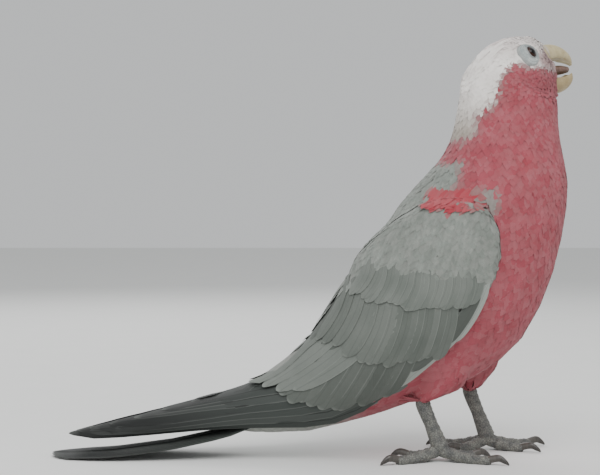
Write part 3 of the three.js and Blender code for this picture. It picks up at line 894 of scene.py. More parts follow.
# %% Roots drawn and thinned
def surface_draw(mesh, density):
    """Random places on a mesh in mm, denser where density is higher; density is places per square mm."""
    mesh.calc_loop_triangles()
    triangles = np.empty(len(mesh.loop_triangles) * 3, int)
    mesh.loop_triangles.foreach_get("vertices", triangles)
    triangles = triangles.reshape(-1, 3)
    corners = home(points_of(mesh))[triangles]
    normals = points_of(mesh, "normal")[triangles]
    first, second = corners[:, 1] - corners[:, 0], corners[:, 2] - corners[:, 0]
    area = np.linalg.norm(np.cross(first, second), axis=1) / 2
    weight = area * density(corners.mean(axis=1))
    picks = rng.choice(len(triangles), int(weight.sum()), p=weight / weight.sum())
    u, v = np.sqrt(rng.random(len(picks))), rng.random(len(picks))
    share = np.stack([1 - u, u * (1 - v), u * v], axis=1)[:, :, None]
    return (corners[picks] * share).sum(axis=1), unit((normals[picks] * share).sum(axis=1))


def thinned(points, spacing):
    """Which points stay when each one clears its neighbours within its spacing."""
    tree = KDTree(len(points))
    for i, p in enumerate(points):
        tree.insert(p, i)
    tree.balance()
    left = np.ones(len(points), bool)
    kept = []
    for i in range(len(points)):
        if left[i]:
            kept.append(i)
            for _, j, _ in tree.find_range(points[i], spacing[i]):
                left[j] = False
    return np.array(kept)


def dense(points):
    """Five draws for every root that can stay; far from the middle it is a wing."""
    return 5 / spacing_at(points, np.zeros(len(points)) + (np.abs(points[:, 1]) > 36)) ** 2


roots, normals = surface_draw(skin.data, dense)
wing_at = wing_share(roots)
spacing = spacing_at(roots, wing_at)
print("drawn:", len(roots))
kept = thinned(roots, spacing)
roots, normals, wing_at, spacing = roots[kept], normals[kept], wing_at[kept], spacing[kept]
print("thinned:", len(roots))

# %% Places without a feather
def is_free(tree, points, normals, start, reach):
    """False where a ray from the place straight outwards meets something within reach."""
    return np.array([
        tree.ray_cast(Vector(p + start * n), Vector(n), reach)[0] is None for p, n in zip(points, normals)])


def eye_gap(points, side):
    """How many mm a place lies outside the ring of bare skin, measured flat over the eye."""
    fore, _, rise = ((points - EYE[side]) @ TURN).T
    off = np.hypot((fore - RING_SHIFT) / RING_OUT[0], (rise - RING_RISE) / RING_OUT[1])
    return (off - 1) * RING_OUT[0] + 0.5


def off_eye(points):
    clear = np.ones(len(points), bool)
    for side in (-1, 1):
        look = unit(EYE[side] - EYE_ROOT)
        reach = points - EYE[side]
        clear &= (eye_gap(points, side) > 0) | (reach @ look < -8)
    return clear


BILL_ROOT = in_head((24, 0, -4))
bill_tree = tree_of(welded(("bill_upper", "bill_lower", "tongue")))


def off_bill(points):
    """False beside the bill and inside the mouth."""
    head = from_head(points)
    _, _, gap = nearest(bill_tree, points)
    return (gap > 0.6) & ((head[:, 0] < 27) | (head[:, 2] > 5) | (head[:, 2] < -16))


print("the right eye's middle lies inside the bare ring by", -eye_gap(EYE[-1][None], -1).round(1)[0], "mm")

# %% Roots that stay
row_places, row_faces = [], []
for piece in flight.values():
    row_faces += [[v + len(row_places) for v in face.vertices] for face in piece.data.polygons]
    row_places += [Vector(spot) for spot in home(points_of(piece.data))]
rows_tree = BVHTree.FromPolygons(row_places, row_faces)
in_the_open = is_free(skin_tree, roots, normals, 0.4, 3)  # not in a fold of the skin
uncovered = is_free(rows_tree, roots, normals, 0.1, 7)  # not under a longer feather of the wing
stay = in_the_open & off_eye(roots) & off_bill(roots) & uncovered
roots, normals, wing_at, spacing = roots[stay], normals[stay], wing_at[stay], spacing[stay]
print("feather roots:", len(roots), "on the wings:", int((wing_at > 0.5).sum()))

# %% The lie of the coat
def lie(points, normals, wing):
    """The way a feather points, along the skin."""
    step, _, _ = by_spine(points)
    away = unit(points - (BILL_ROOT * 0.75 + SKULL * 0.25))
    away = unit(away - normals * (away * normals).sum(axis=1)[:, None])
    skull = np.linalg.norm(points - SKULL, axis=1)
    on_head = (1 - smooth_step(skull, 18, 33))[:, None]
    way = spine_way[step] * (1 - on_head) + away * on_head
    slope = np.radians(np.interp(points[:, 0], (-60, -40, 5), (50, 58, 78)))
    down = np.stack([-np.cos(slope), np.zeros(len(points)), -np.sin(slope)], axis=1)
    way = way * (1 - wing[:, None]) + down * wing[:, None]
    way = way - normals * (way * normals).sum(axis=1)[:, None]
    return unit(way)


def random_turn(ways, normals, degrees):
    """Each way turned a little along the skin, by chance."""
    turn = np.radians(degrees) * rng.standard_normal(len(ways))[:, None]
    return unit(ways * np.cos(turn) + np.cross(ways, normals) * np.sin(turn))


# the tuft at the bend of the wing points backwards and down, over the wing's upper edge
glow = marks_at(roots, wing_at)[:, 3]
tuft = ((glow > 0.5) & (np.abs(roots[:, 2] - 134.5) < 8) & (roots[:, 0] < 30)).astype(float)
ways = random_turn(lie(roots, normals, wing_at), normals, 6)
ways = unit(ways * (1 - 0.8 * tuft[:, None]) + np.array((-0.8, 0, -0.5)) * 0.8 * tuft[:, None])
print("feathers in the tufts:", int(tuft.sum()))

# %% [markdown]
# ## Body feathers
# The same leaf covers face, neck, breast, back and thighs, and makes the small coverts of the wing.
# Its size could be the same everywhere, but a real coat goes from 2 or 3 mm on the face to 15 mm and more
# on belly and shoulders, so length and width follow the spacing. The pieces are cut by region, so that
# each stays small enough to be handled. Every feather takes its weights from near its root, which gives
# the ragged edges that real markings have.

# %% Sizes of the body feathers
FAR = 30  # keeps the other eye out of the measure
to_right = eye_gap(roots, -1) + FAR * (roots[:, 1] > SKULL[1])
to_left = eye_gap(roots, 1) + FAR * (roots[:, 1] < SKULL[1])
to_eye = np.minimum(to_right, to_left)
before_eye = smooth_step(from_head(roots)[:, 0], 3, 7)
shorter = 1 - before_eye * (1 - np.interp(to_eye, (0, 4), (0.6, 1)))
low = smooth_step(-roots[:, 2], -58, -36) * (roots[:, 0] > -12)
per_spacing = np.interp(spacing, (0.78, 1.5, 2.0), (3.9, 5.2, 5.8))
lengths = spacing * per_spacing * rng.uniform(0.85, 1.15, len(roots))
scapular = smooth_step(-np.abs(roots[:, 1]), -18, -9) * smooth_step(-roots[:, 0], -6, 14)
under_chin = np.exp(-(np.linalg.norm(roots - throat, axis=1) / 12) ** 2)
lengths *= shorter * (1 + 0.35 * low + 0.2 * tuft + 0.25 * scapular + 0.25 * under_chin)
widths = spacing * np.interp(spacing, (0.78, 2.0), (2.1, 2.8))
rises = coat_depth(roots, wing_at) * (1 + 0.05 * rng.standard_normal(len(roots))) * (1 + 0.5 * tuft)
print("lengths from", lengths.min().round(1), "to", lengths.max().round(1), "mm")

# %% Weights and shades
JITTER = 0.7  # how far from its root a feather takes its colours
winged = wing_at >= 0.5
marks = marks_at(roots + rng.normal(0, JITTER, roots.shape), winged.astype(float))
shades = rng.uniform(0, 1, len(roots))
print("rose feathers:", int((marks[:, 0] > 0.5).sum()))

# %% Keep the edge of the wing clear
# In front of the rump, a body feather whose end would lie on the wing is left out.
ends = roots + ways * lengths[:, None] * 0.8
ends_on_wing = wing_share(drop(ends)[0]) >= 0.5
stay = winged | (tuft > 0) | ~ends_on_wing | (roots[:, 0] < -15)
print("left out at the wing's edge:", int((~stay).sum()))

# %% Lay the coat
on_head = np.linalg.norm(roots - SKULL, axis=1) < 31
on_body = ~on_head & ~winged
on_wings = ~on_head & winged
regions = {
    "feathers_head": on_head,
    "feathers_neck": on_body & (roots[:, 2] > 140),
    "feathers_breast": on_body & (roots[:, 2] <= 140) & (roots[:, 0] > 20),
    "feathers_back": on_body & (roots[:, 2] <= 140) & (roots[:, 0] <= 20),
    "coverts_right": on_wings & (roots[:, 1] < 0),
    "coverts_left": on_wings & (roots[:, 1] >= 0),
}
coat = {}
for title, region in regions.items():
    k = region & stay
    laid = feathers(DOWNY, roots[k], normals[k], ways[k], lengths[k], widths[k], rises[k])
    coat[title] = feather_piece(title, *laid, marks[k], unwrap(roots[k]), shades[k])


# %% [markdown]
# ## The folded crest
# A galah's crest is a sheaf of long narrow feathers rooted over the bill. At rest it lies flat along the
# crown with its tips on the nape, so it shows as fine lines running back, and as a slightly raised edge
# where the tips end. It could be one raised slab with lines drawn on it, but then its edge would be
# straight. So the roots stand in rows on the forehead, and long plumes are laid from them.

# %% Roots of the crest
# how far forward a row of roots is in the head's frame, how many it has, and half its width
CREST_ROWS = (
    (18, 5, 2.8), (15, 7, 4.2), (12, 8, 5.6), (8, 9, 7), (4, 9, 8), (-1, 9, 8.6), (-6, 9, 9),
)
crest_spots = []
for row_at, count, half in CREST_ROWS:
    for k in range(count):
        across = (k + 0.5) / count * 2 - 1
        crest_spots.append((row_at + rng.normal(0, 0.6), half * across + rng.normal(0, 0.3)))
crest_roots, crest_normals = [], []
for fore, across in crest_spots:
    spot, normal, _, _ = skin_tree.ray_cast(Vector(in_head((fore, across, 40))), Vector(DOWN))
    crest_roots.append(spot)
    crest_normals.append(normal)
crest_roots, crest_normals = np.array(crest_roots), np.array(crest_normals)
print("crest roots:", len(crest_roots))

# %% Plumes of the crest
CREST_WIDTH = 4.2
fore, across = np.array(crest_spots).T
heading = np.stack([-np.ones(len(fore)), -0.02 * across, -0.04 * (20 - fore)], axis=1) @ TURN.T
heading = unit(heading - crest_normals * (heading * crest_normals).sum(axis=1)[:, None])
crest_lengths = np.interp(fore, (-5, 5, 20), (15, 22, 27)) * rng.uniform(0.9, 1.1, len(fore))
crest_rises = 0.75 + 0.012 * fore + rng.uniform(0, 0.15, len(fore))
laid = feathers(
    PLUME, crest_roots, crest_normals, heading, crest_lengths, np.full(len(fore), CREST_WIDTH), crest_rises,
    thick=0.07, fringe=0.03)
crest_marks = np.tile((0.0, 1.0, 0.0, 0.0), (len(fore), 1))
crest_marks[:, 0] = 0.3 * smooth_step(fore, 12, 21)
coat["crest_feathers"] = feather_piece(
    "crest_feathers", *laid, crest_marks, unwrap(crest_roots), rng.uniform(0, 1, len(fore)))


# %% [markdown]
# ## The tail
# Twelve feathers fan a little from the rump, the middle pair on top and each pair outwards a step
# lower, and their ends lie on the floor. They could be laid on the solid of the tail, as the wing's are
# on its tube, but a fan is plain enough for a formula: across it every feather has its place, and along
# it the fan sinks and widens by a short list of stations.

# %% Tail feathers
# top of the middle feathers as x, z, and half width
TAIL = [
    (-50, 41, 12), (-78, 25.5, 14.5), (-104, 14.6, 16.5),
    (-132, 8.4, 19.5), (-162, 4.3, 21.5), (-196, 2.1, 22.5),
]
TAIL_FEATHERS = 12
TAIL_ROOT = -56


def tail_feather(k):
    """Points of one feather, k from the right, and 1 on the left or -1 on the right."""
    shape, _, _ = QUILL
    across = (k + 0.5) / TAIL_FEATHERS * 2 - 1
    end = TAIL_END + 9 * abs(across) ** 2.5
    x = np.interp(shape[:, 1], (0, 1), (TAIL_ROOT, end))
    stations = np.array(TAIL)
    order = np.argsort(stations[:, 0])
    top, half = (np.interp(x, stations[order, 0], stations[order, i]) for i in (1, 2))
    width = np.interp(shape[:, 1], (0, 0.3, 1), (8, 13, 15)) / 2
    turn = math.copysign(1, across)
    y = across * (half - width * 0.9) + shape[:, 0] * width * turn
    arch = 2.4 * np.interp(x, (-194, -50), (0, 1)) * (y / half) ** 2
    ridge = 0.2 * np.exp(-((shape[:, 0] - SHAFT) / 0.14) ** 2) * (shape[:, 2] >= 0)
    height = top - arch - 0.32 - 1.5 * abs(across) - 0.25 * shape[:, 0] + 0.15 * shape[:, 2] + ridge
    return np.stack([x, y, np.maximum(height, 0.05 + 0.1 * (shape[:, 2] > 0))], axis=1), turn


fan = [tail_feather(k) for k in range(TAIL_FEATHERS)]
tail_pieces = []
for turn, title in ((1, "tail_left"), (-1, "tail_right")):
    chosen = np.array([points for points, way in fan if way == turn])
    shape, faces, _ = QUILL
    faces = faces[:, ::-1] if turn > 0 else faces
    four = marked(chosen, 0, 1, 0.6)
    tones = rng.uniform(0, 1, len(chosen))
    tail_pieces.append(feather_piece(title, chosen, faces, shape, four, unwrap(chosen[:, 0]), tones))


# %% [markdown]
# ## Uppertail coverts
# Long soft feathers run from the rump over the root of the tail and hide where it begins. The body's
# leaves could be drawn out to reach it, but they would bend down into the gap between rump and tail.
# So four rows of plumes bridge it on a line of their own, and the lowest row reaches farthest back.

# %% Uppertail coverts
# the line of the rump and of the top of the tail under them, as x, z
RUMP_LINE = [(-50, 75), (-62, 61), (-74, 50), (-86, 41), (-98, 34.5), (-110, 29), (-124, 23), (-138, 17)]


def uppertail_feather(root, tip, across, width, level):
    shape, _, _ = PLUME
    x = root + (tip - root) * shape[:, 1]
    line_x, line_z = np.array(RUMP_LINE[::-1]).T
    spread = np.interp(shape[:, 1], (0, 1), (0.8, 1.1))
    y = across * spread + shape[:, 0] * width / 2
    z = np.interp(x, line_x, line_z) + level - 0.03 * y * y - 0.4 * (1 - shape[:, 1]) + 0.1 * shape[:, 2]
    return np.stack([x, y, z], axis=1)


# where a row starts along x, how many feathers it has, how long they are and how high they lie
UPPERTAIL_ROWS = ((-84, 6, 26, -1.2), (-77, 7, 24, -0.7), (-71, 7, 22, -0.3), (-65, 7, 20, 0.0))
UPPERTAIL_HALF, UPPERTAIL_WIDTH = 7.5, 5  # half the width of a row, and the width of one feather
uppertail = []
for row_at, count, reach, level in UPPERTAIL_ROWS:
    for k in range(count):
        across = ((k + 0.5) / count * 2 - 1) * UPPERTAIL_HALF
        start = row_at + rng.normal(0, 1)
        end = start - reach * (1 - 0.012 * abs(across)) * rng.uniform(0.92, 1.08)
        high = level + rng.uniform(0, 0.25)
        uppertail.append(uppertail_feather(start, end, across, UPPERTAIL_WIDTH, high))
uppertail = np.array(uppertail)
shape, faces, _ = PLUME
coat["uppertail_coverts"] = feather_piece(
    "uppertail_coverts", uppertail, faces, shape, marked(uppertail, 0.04, 0.3), unwrap(uppertail[:, 0]),
    rng.uniform(0, 1, len(uppertail)))


# %% [markdown]
# ## Bill and tongue
# A cockatoo's bill is horn over bone: a deep hooked upper half with a notch in its cutting edge, and a
# short scoop of a lower half with the tongue lying in it. They could be sculpted, or bevelled from a
# curve, but a curve has one section all along. So a ring of points is extruded from the feathers to the
# tip, and each new ring is placed by a formula for its section.

# %% Sweep a ring
def sweep(title, steps, sides, point):
    """A closed piece: a ring extruded along steps, its points placed by point(t, angle) in mm."""
    made = bmesh.new()
    bmesh.ops.create_circle(made, segments=sides, radius=1)
    made.verts.ensure_lookup_table()
    ring = list(made.verts)
    angles = np.arange(sides) * 2 * math.pi / sides
    for k in range(steps + 1):
        if k:
            edges = [e for e in made.edges if all(v in rim for v in e.verts)]
            grown = bmesh.ops.extrude_edge_only(made, edges=edges)["geom"]
            fresh = {v for v in grown if isinstance(v, bmesh.types.BMVert)}
            ring = [next(e.other_vert(v) for e in v.link_edges if e.other_vert(v) in fresh) for v in ring]
        rim = set(ring)
        for v, spot in zip(ring, place(point(np.full(sides, k / steps), angles))):
            v.co = spot
    bmesh.ops.holes_fill(made, edges=made.edges[:], sides=0)
    bmesh.ops.recalc_face_normals(made, faces=made.faces[:])
    mesh = bpy.data.meshes.new(title)
    made.to_mesh(mesh)
    made.free()
    length = mesh.attributes.new("length", "FLOAT", "POINT")
    length.data.foreach_set("value", np.repeat(np.arange(steps + 1) / steps, sides))
    mesh.polygons.foreach_set("use_smooth", np.ones(len(mesh.polygons), bool))
    print(title, len(mesh.polygons), "faces")
    return new_piece(title, mesh)


# %% Stations and sections of the bill
# forward, up, half depth and half width along each, in the head's frame
UPPER_BILL = [
    (20, 2.8, 5.2, 8), (27, 3, 5.3, 7.8), (33, 2, 5, 7), (38, -0.3, 4.3, 5.8), (41.8, -3.2, 3.2, 4.2),
    (43.9, -6, 1.9, 2.6), (44.8, -8.6, 0.5, 0.8),
]
LOWER_BILL = [
    (16, -9.5, 4, 6), (23, -12, 4.8, 7), (29, -13.8, 5, 6.8), (34, -14.4, 4.4, 6), (38.2, -13.8, 3, 4.8),
    (41, -12.4, 0.9, 3),
]
TONGUE = [(22, -4.8, 2.2, 3.6), (29, -6.3, 2.5, 3.8), (35.5, -8, 2.5, 3.4), (40.6, -9.6, 1.7, 2.3)]


def horn_point(stations, section):
    """The rule for one swept piece: section(t, angle) gives across and up on a ring of size 1."""
    def point(t, angle):
        forward, up, depth, half = along(stations, t).T
        late, early = along(stations, np.minimum(t + 0.02, 1)), along(stations, np.maximum(t - 0.02, 0))
        run = unit(late[:, :2] - early[:, :2])
        across, rise = section(t, angle)
        rise = rise * depth
        return in_head(np.stack([forward - run[:, 1] * rise, half * across, up + run[:, 0] * rise], axis=1))
    return point


def upper_section(t, angle):
    """Round on top, hollow below, with a notch in the cutting edge."""
    high, wide = np.cos(angle), np.sin(angle)
    across = wide * (1 - 0.1 * np.clip(high, 0, 1))
    notch = 0.16 * np.exp(-((t - 0.56) / 0.05) ** 2) * np.exp(-((high + 0.45) / 0.4) ** 2)
    under = -0.95 * np.abs(high) ** 0.6 + 0.45 * np.abs(high) ** 4 + notch
    return across, np.where(high > 0, high, under)


def lower_section(t, angle):
    """Round below and scooped out on top."""
    high, wide = np.cos(angle), np.sin(angle)
    scoop = 1.6 * high * (1 - 1.15 * high ** 2)
    return wide * (1 + 0.05 * np.cos(2 * angle)), np.where(high > 0, scoop, high)


def tongue_section(t, angle):
    """Round, with a groove along the top towards the tip."""
    high, wide = np.cos(angle), np.sin(angle)
    groove = 0.3 * np.exp(-(wide / 0.3) ** 2) * smooth_step(t, 0.4, 0.9)
    return wide, high - np.where(high > 0, groove, 0)


print("stations of upper bill, lower bill and tongue:", len(UPPER_BILL), len(LOWER_BILL), len(TONGUE))

# %% Bill and tongue
upper_bill = sweep("bill_upper_horn", 44, 48, horn_point(UPPER_BILL, upper_section))
lower_bill = sweep("bill_lower_horn", 32, 40, horn_point(LOWER_BILL, lower_section))
tongue = sweep("tongue_fleshy", 24, 28, horn_point(TONGUE, tongue_section))
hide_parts("bill_upper")
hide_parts("bill_lower")
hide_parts("tongue")

# %% [markdown]
# ## Cere and mouth
# Over the root of the upper bill lies a low band of bare skin, the cere, with the nostrils in it. It
# could be a second skin over the head, but a thin sweep across the bill is simpler: the ring runs from
# one side over the top to the other and shrinks at both ends. The mouth behind the tongue is lined with
# one short plug, so that no daylight shows between the halves of the bill.

# %% Cere
CERE_REACH = 1.75  # radians down each side from the top of the bill
CERE_HEIGHT, CERE_WIDTH = 0.75, 1.3  # half of each, in mm


def cere_point(t, angle):
    """A soft band over the root of the upper bill, fuller on top and thin at its two ends."""
    turn = (2 * t[0] - 1) * CERE_REACH
    fore = 28 - 1.6 * abs(turn / CERE_REACH) ** 1.3
    station = np.full(len(angle), np.interp(fore, (20, 27, 33), (0, 1 / 6, 2 / 6)))
    middle = horn_point(UPPER_BILL, upper_section)(station, np.full(len(angle), turn))
    axis = horn_point(UPPER_BILL, lambda a, b: (0 * b, 0 * b))(station, angle)
    out = unit(middle - axis)
    plump = 0.25 + 0.75 * (1 - abs(turn / CERE_REACH) ** 3)
    nostril = 0.45 * math.exp(-(((abs(turn) - 0.62) / 0.16) ** 2))
    high = np.sin(angle) * (plump * (CERE_HEIGHT - nostril * np.clip(np.sin(angle), 0, 1)))
    ahead = np.cos(angle) * CERE_WIDTH * plump - 0.5
    return middle + out * high[:, None] + unit(AHEAD) * ahead[:, None]


cere = sweep("cere_skin", 60, 20, cere_point)

# %% Lining of the mouth
MOUTH = [(18, -3.5, 5.5, 6.6), (24, -4, 5.6, 6), (29, -5, 5, 5), (31.5, -5.6, 2.6, 2.6)]
mouth = sweep("mouth_lining", 16, 28, horn_point(MOUTH, lambda t, angle: (np.sin(angle), np.cos(angle))))

# %% [markdown]
# ## Eyes
# The eye is a ball set deep in the skull with only a third of it showing between the lids. Round it
# lies a ring of bare wrinkled skin, wide behind and below the eye. The folds could be left to bump in
# the material, but they show in the outline of the lids. So the ring is one swept surface: a polar grid
# cast on the head, rising in fine folds, that climbs on to the ball at the lids' rim.

# %% The head's form
# forward, top, bottom and half width along the head
HEAD_FORM = [
    (-29.5, 1, -8, 4), (-26.5, 6.5, -15.5, 10.5), (-19, 14, -21, 16), (-9, 19.3, -23, 19.5),
    (2, 21.4, -23, 20.5), (12, 20.8, -22.5, 18.6), (19, 18.2, -23, 13.8), (25, 14.6, -22.2, 8.8),
    (29.5, 11, -19.2, 5.6), (32.5, 8, -12, 3.4), (34, 5, -6, 1.8),
]


def head_point(t, angle):
    forward, top, bottom, half = along(HEAD_FORM, t).T
    rise = (top + bottom) / 2 + (top - bottom) / 2 * np.cos(angle)
    return in_head(np.stack([forward, half * np.sin(angle), rise], axis=1))


head_form = guide(head_point, 60, 60)
print("width of the head:", 2 * max(row[-1] for row in HEAD_FORM), "mm")

# %% The ball of the eye
EYE_R = 4.6
CORNEA = 0.45  # how far the clear front of the eye bulges from the ball


def eye_axes(side):
    """Out of the head, forward and up as seen by one eye."""
    look = unit(EYE[side] - EYE_ROOT)
    fore = unit(AHEAD - look * (AHEAD @ look))
    return look, fore, unit(np.cross(look, fore)) * side


def eyeball(side, title):
    look, fore, rise = eye_axes(side)
    made = bmesh.new()
    bmesh.ops.create_uvsphere(made, u_segments=40, v_segments=32, radius=1)
    radii = []
    for v in made.verts:
        off, out = math.hypot(v.co.x, v.co.y), v.co.z
        bulge = CORNEA * math.exp(-((off / 0.42) ** 4)) * (out > 0)
        radii.append(off * EYE_R if out > 0 else 9.0)
        spot = EYE[side] + (fore * v.co.x + rise * v.co.y + look * v.co.z) * EYE_R + look * bulge
        v.co = place(spot)
    bmesh.ops.recalc_face_normals(made, faces=made.faces[:])
    mesh = bpy.data.meshes.new(title)
    made.to_mesh(mesh)
    made.free()
    layer = mesh.attributes.new("from_pupil", "FLOAT", "POINT")
    layer.data.foreach_set("value", radii)
    mesh.polygons.foreach_set("use_smooth", np.ones(len(mesh.polygons), bool))
    return new_piece(title, mesh)


print("the eyes look along", [unit(EYE[side] - EYE_ROOT).round(2) for side in (-1, 1)])

# %% The lids and the bare ring
LID = (2.75, 3.1)  # half the opening between the lids, fore and aft and up and down
TUCKED = 0.12  # the first part of the sweep turns in under the lids
LID_THICK = 0.5
FOLDS, CREASES = 0.2, 0.13  # height of the folds round the eye and of the creases across them


def above_head(places, look, side):
    """How far out the head's surface is from the middle of the eye, under each place."""
    hits = [head_form.ray_cast(Vector(p), Vector(-look)) for p in places + look * 14]
    return np.array([(np.array(h[0]) - EYE[side]) @ look if h[0] is not None else 0 for h in hits])


def bare_ring(side, title):
    """The lids and the bare skin, from inside the eye's opening out to under the feathers."""
    look, fore, rise = eye_axes(side)

    def point(t, angle):
        t = t[0]
        lid = np.hypot(LID[0] * np.cos(angle), LID[1] * np.sin(angle))
        outer = np.hypot(RING_OUT[0] * np.cos(angle), RING_OUT[1] * np.sin(angle))
        inside = t < TUCKED
        share = max((t - TUCKED) / (1 - TUCKED), 0)
        reach = lid * (0.9 + 0.1 * t / TUCKED) if inside else lid + (outer - lid) * share
        across = np.cos(angle) * reach + RING_SHIFT * share ** 1.5
        up = np.sin(angle) * reach + RING_RISE * share ** 1.5
        flat = fore * across[:, None] + rise * up[:, None]
        on_ball = np.sqrt(np.maximum(EYE_R ** 2 - reach ** 2, 0)) + (-LID_THICK if inside else LID_THICK)
        # on the head it rises in folds, and its rim dips under the feathers
        fold = FOLDS * math.sin(share * 26) + CREASES * np.sin(angle * 26 + share * 11)
        fold = fold + 0.3 * math.exp(-(((share - 0.06) / 0.05) ** 2))
        on_head = above_head(EYE[side] + flat, look, side)
        on_head = on_head + 0.55 * math.sin(math.pi * min(share * 1.1, 1)) + fold * (share < 0.92)
        on_head = on_head - 1.6 * smooth_step(share, 0.86, 1)
        rise_share = smooth_step(share, 0.0, 0.3)
        height = on_ball * (1 - rise_share) + on_head * rise_share
        # outside the lids' rim it stays clear of the ball
        from_middle = (flat ** 2).sum(axis=1)
        ball = np.sqrt(np.maximum(EYE_R ** 2 - from_middle, 0))
        over_ball = (share > 0.02) & (from_middle < 0.95 * EYE_R ** 2)
        height = np.where(over_ball, np.maximum(height, ball + 0.25), height)
        return EYE[side] + flat + look * height[:, None]

    return sweep(title, 34, 84, point)


print("opening of the lids:", 2 * LID[0], "by", 2 * LID[1], "mm")

# %% Both eyes
eyes, rings = {}, {}
for side, name in ((-1, "right"), (1, "left")):
    eyes[name] = eyeball(side, f"eyeball_{name}")
    rings[name] = bare_ring(side, f"lids_{name}")
    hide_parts(f"eye_{name}")
    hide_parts(f"eye_ring_{name}")
print("faces of an eyeball:", len(eyes["right"].data.polygons))

# %% [markdown]
# ## Legs, toes and claws
# The shank and toes are covered in small hard scales, overlapping plates on top and round grains
# below, and each toe ends in a curved claw. Skin modifiers on a few edges would give the limbs, but no
# plates. So they are swept like the bill, with the plates as ridges across the top, and everything that
# would be under the floor is pressed flat on it.

# %% Measures of the legs
# foot: where the toes meet; ankle: where the shank goes into the feathers; turn: of the foot, in degrees
LEGS = {
    "right": {"side": -1, "foot": (3, -19, 8.5), "ankle": (-5, -18.5, 29), "turn": -4},
    "left": {"side": 1, "foot": (31, 19, 8.5), "ankle": (22.5, 18.5, 31), "turn": 4},
}
# direction in degrees and length of each toe; a parrot has two in front and two behind
TOES = {
    "front_outer": (20, 27), "front_inner": (-26, 20),
    "rear_outer": (150, 24), "rear_inner": (-158, 17),
}
SHANK_R = (3.2, 3.7, 3.3, 4.2, 3.4)
TOE_R, TOE_TIP_R = 3.1, 2.4
TOE_SINK = 0.6  # how far a toe is pressed flat on the floor
CLAW_LENGTH, CLAW_R = 9.5, 1.9
PLATE = 1.7  # length of one plate on the top of a toe
SHANK_PLATES = 14
print("toe with its claw:", [reach + CLAW_LENGTH for _, reach in TOES.values()], "mm")

# %% The section of a limb
def limb_point(stops, radii, plates, flat=0.0, squash=1.0):
    """The rule for a limb along stops; flat is the floor's height for it, squash its width."""
    stops = np.array(stops, float)

    def point(t, angle):
        spot = along(stops, t)
        way = unit(along(stops, np.minimum(t + 0.02, 1)) - along(stops, np.maximum(t - 0.02, 0)))
        side = np.cross((0, 0, 1), way)
        side = unit(np.where(np.linalg.norm(side, axis=1)[:, None] < 0.2, (0, 1, 0), side))
        up = unit(np.cross(way, side))
        radius = np.interp(t, np.linspace(0, 1, len(radii)), radii)
        ridge = ((t * plates) % 1) ** 1.5 * 0.09 * np.clip(np.cos(angle) + 0.35, 0, 1) if plates else 0
        radius = radius * (1 + ridge)
        across, high = radius * squash * np.sin(angle), radius * np.cos(angle)
        made = spot + side * across[:, None] + up * high[:, None]
        made[:, 2] = np.maximum(made[:, 2], flat)
        return made
    return point


def toe_radii():
    """Radii from root to tip: thick over the pads, thin at the joints between them."""
    pads = [TOE_R * 0.9, TOE_R, TOE_R * 0.98]
    for i in range(1, 7):
        size = TOE_R + (TOE_TIP_R - TOE_R) * i / 6
        pads.append(size * (0.9 if i % 2 else 1.06))
    return pads + [TOE_TIP_R * 0.8]


print("radii along a toe:", [round(r, 1) for r in toe_radii()])

# %% Feet and claws
feet, claws = [], []
for name, leg in LEGS.items():
    foot, ankle = np.array(leg["foot"], float), np.array(leg["ankle"], float)
    shank = [ankle + (1.5, 0, 4.5), ankle, (ankle + foot) / 2, foot, foot - (-1, 0, 3.4)]
    shank_piece = sweep(f"shank_{name}", 60, 28, limb_point(shank, SHANK_R, SHANK_PLATES))
    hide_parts(f"tarsus_{name}")
    feet.append(shank_piece)
    for toe_name, (heading, reach) in TOES.items():
        way = math.radians(leg["side"] * heading + leg["turn"])
        rest = TOE_R - TOE_SINK

        def out(d, z):
            return (foot[0] + d * math.cos(way), foot[1] + d * math.sin(way), z)

        stops = [
            out(0, foot[2] - 2.6), out(reach * 0.25, rest + 1.4), out(reach * 0.6, rest - 0.3),
            out(reach, TOE_TIP_R - TOE_SINK - 0.1),
        ]
        made = sweep(f"toe_skin_{name}_{toe_name}", 64, 22, limb_point(stops, toe_radii(), reach / PLATE))
        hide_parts(f"toe_{name}_{toe_name}")
        feet.append(made)
        hook = [
            out(reach - 1.5, rest - 0.2), out(reach + CLAW_LENGTH * 0.42, rest + 1),
            out(reach + CLAW_LENGTH * 0.8, rest - 0.6), out(reach + CLAW_LENGTH, 0.45),
        ]
        taper = (CLAW_R, CLAW_R * 0.95, CLAW_R * 0.6, 0.3)
        made = sweep(f"claw_horn_{name}_{toe_name}", 20, 16, limb_point(hook, taper, 0, 0.02, 0.8))
        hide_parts(f"claw_{name}_{toe_name}")
        claws.append(made)


# %% [markdown]
# ## Colours of the feathers
# Feather colour sits in thousands of fine barbs that slant from the shaft to the rim. They take the
# light softly, with no clear highlight, and they make each vane streaky and a little paler at its worn
# rim. Colour could come from a picture of a feather, but a pattern of nodes has no resolution to run
# out of. Every feather carries a small map, across and along its own vane, and a random number, so that
# one material can draw barbs, shaft and rim on all of them. The four weights painted on the points mix
# the colours. The skin under the feathers has the same paint and so the same material.

# %% The pattern of a vane
def math_of(tree, first, second, way="ADD"):
    return node(tree, "Math", {0: first, 1: second}, operation=way).outputs[0]


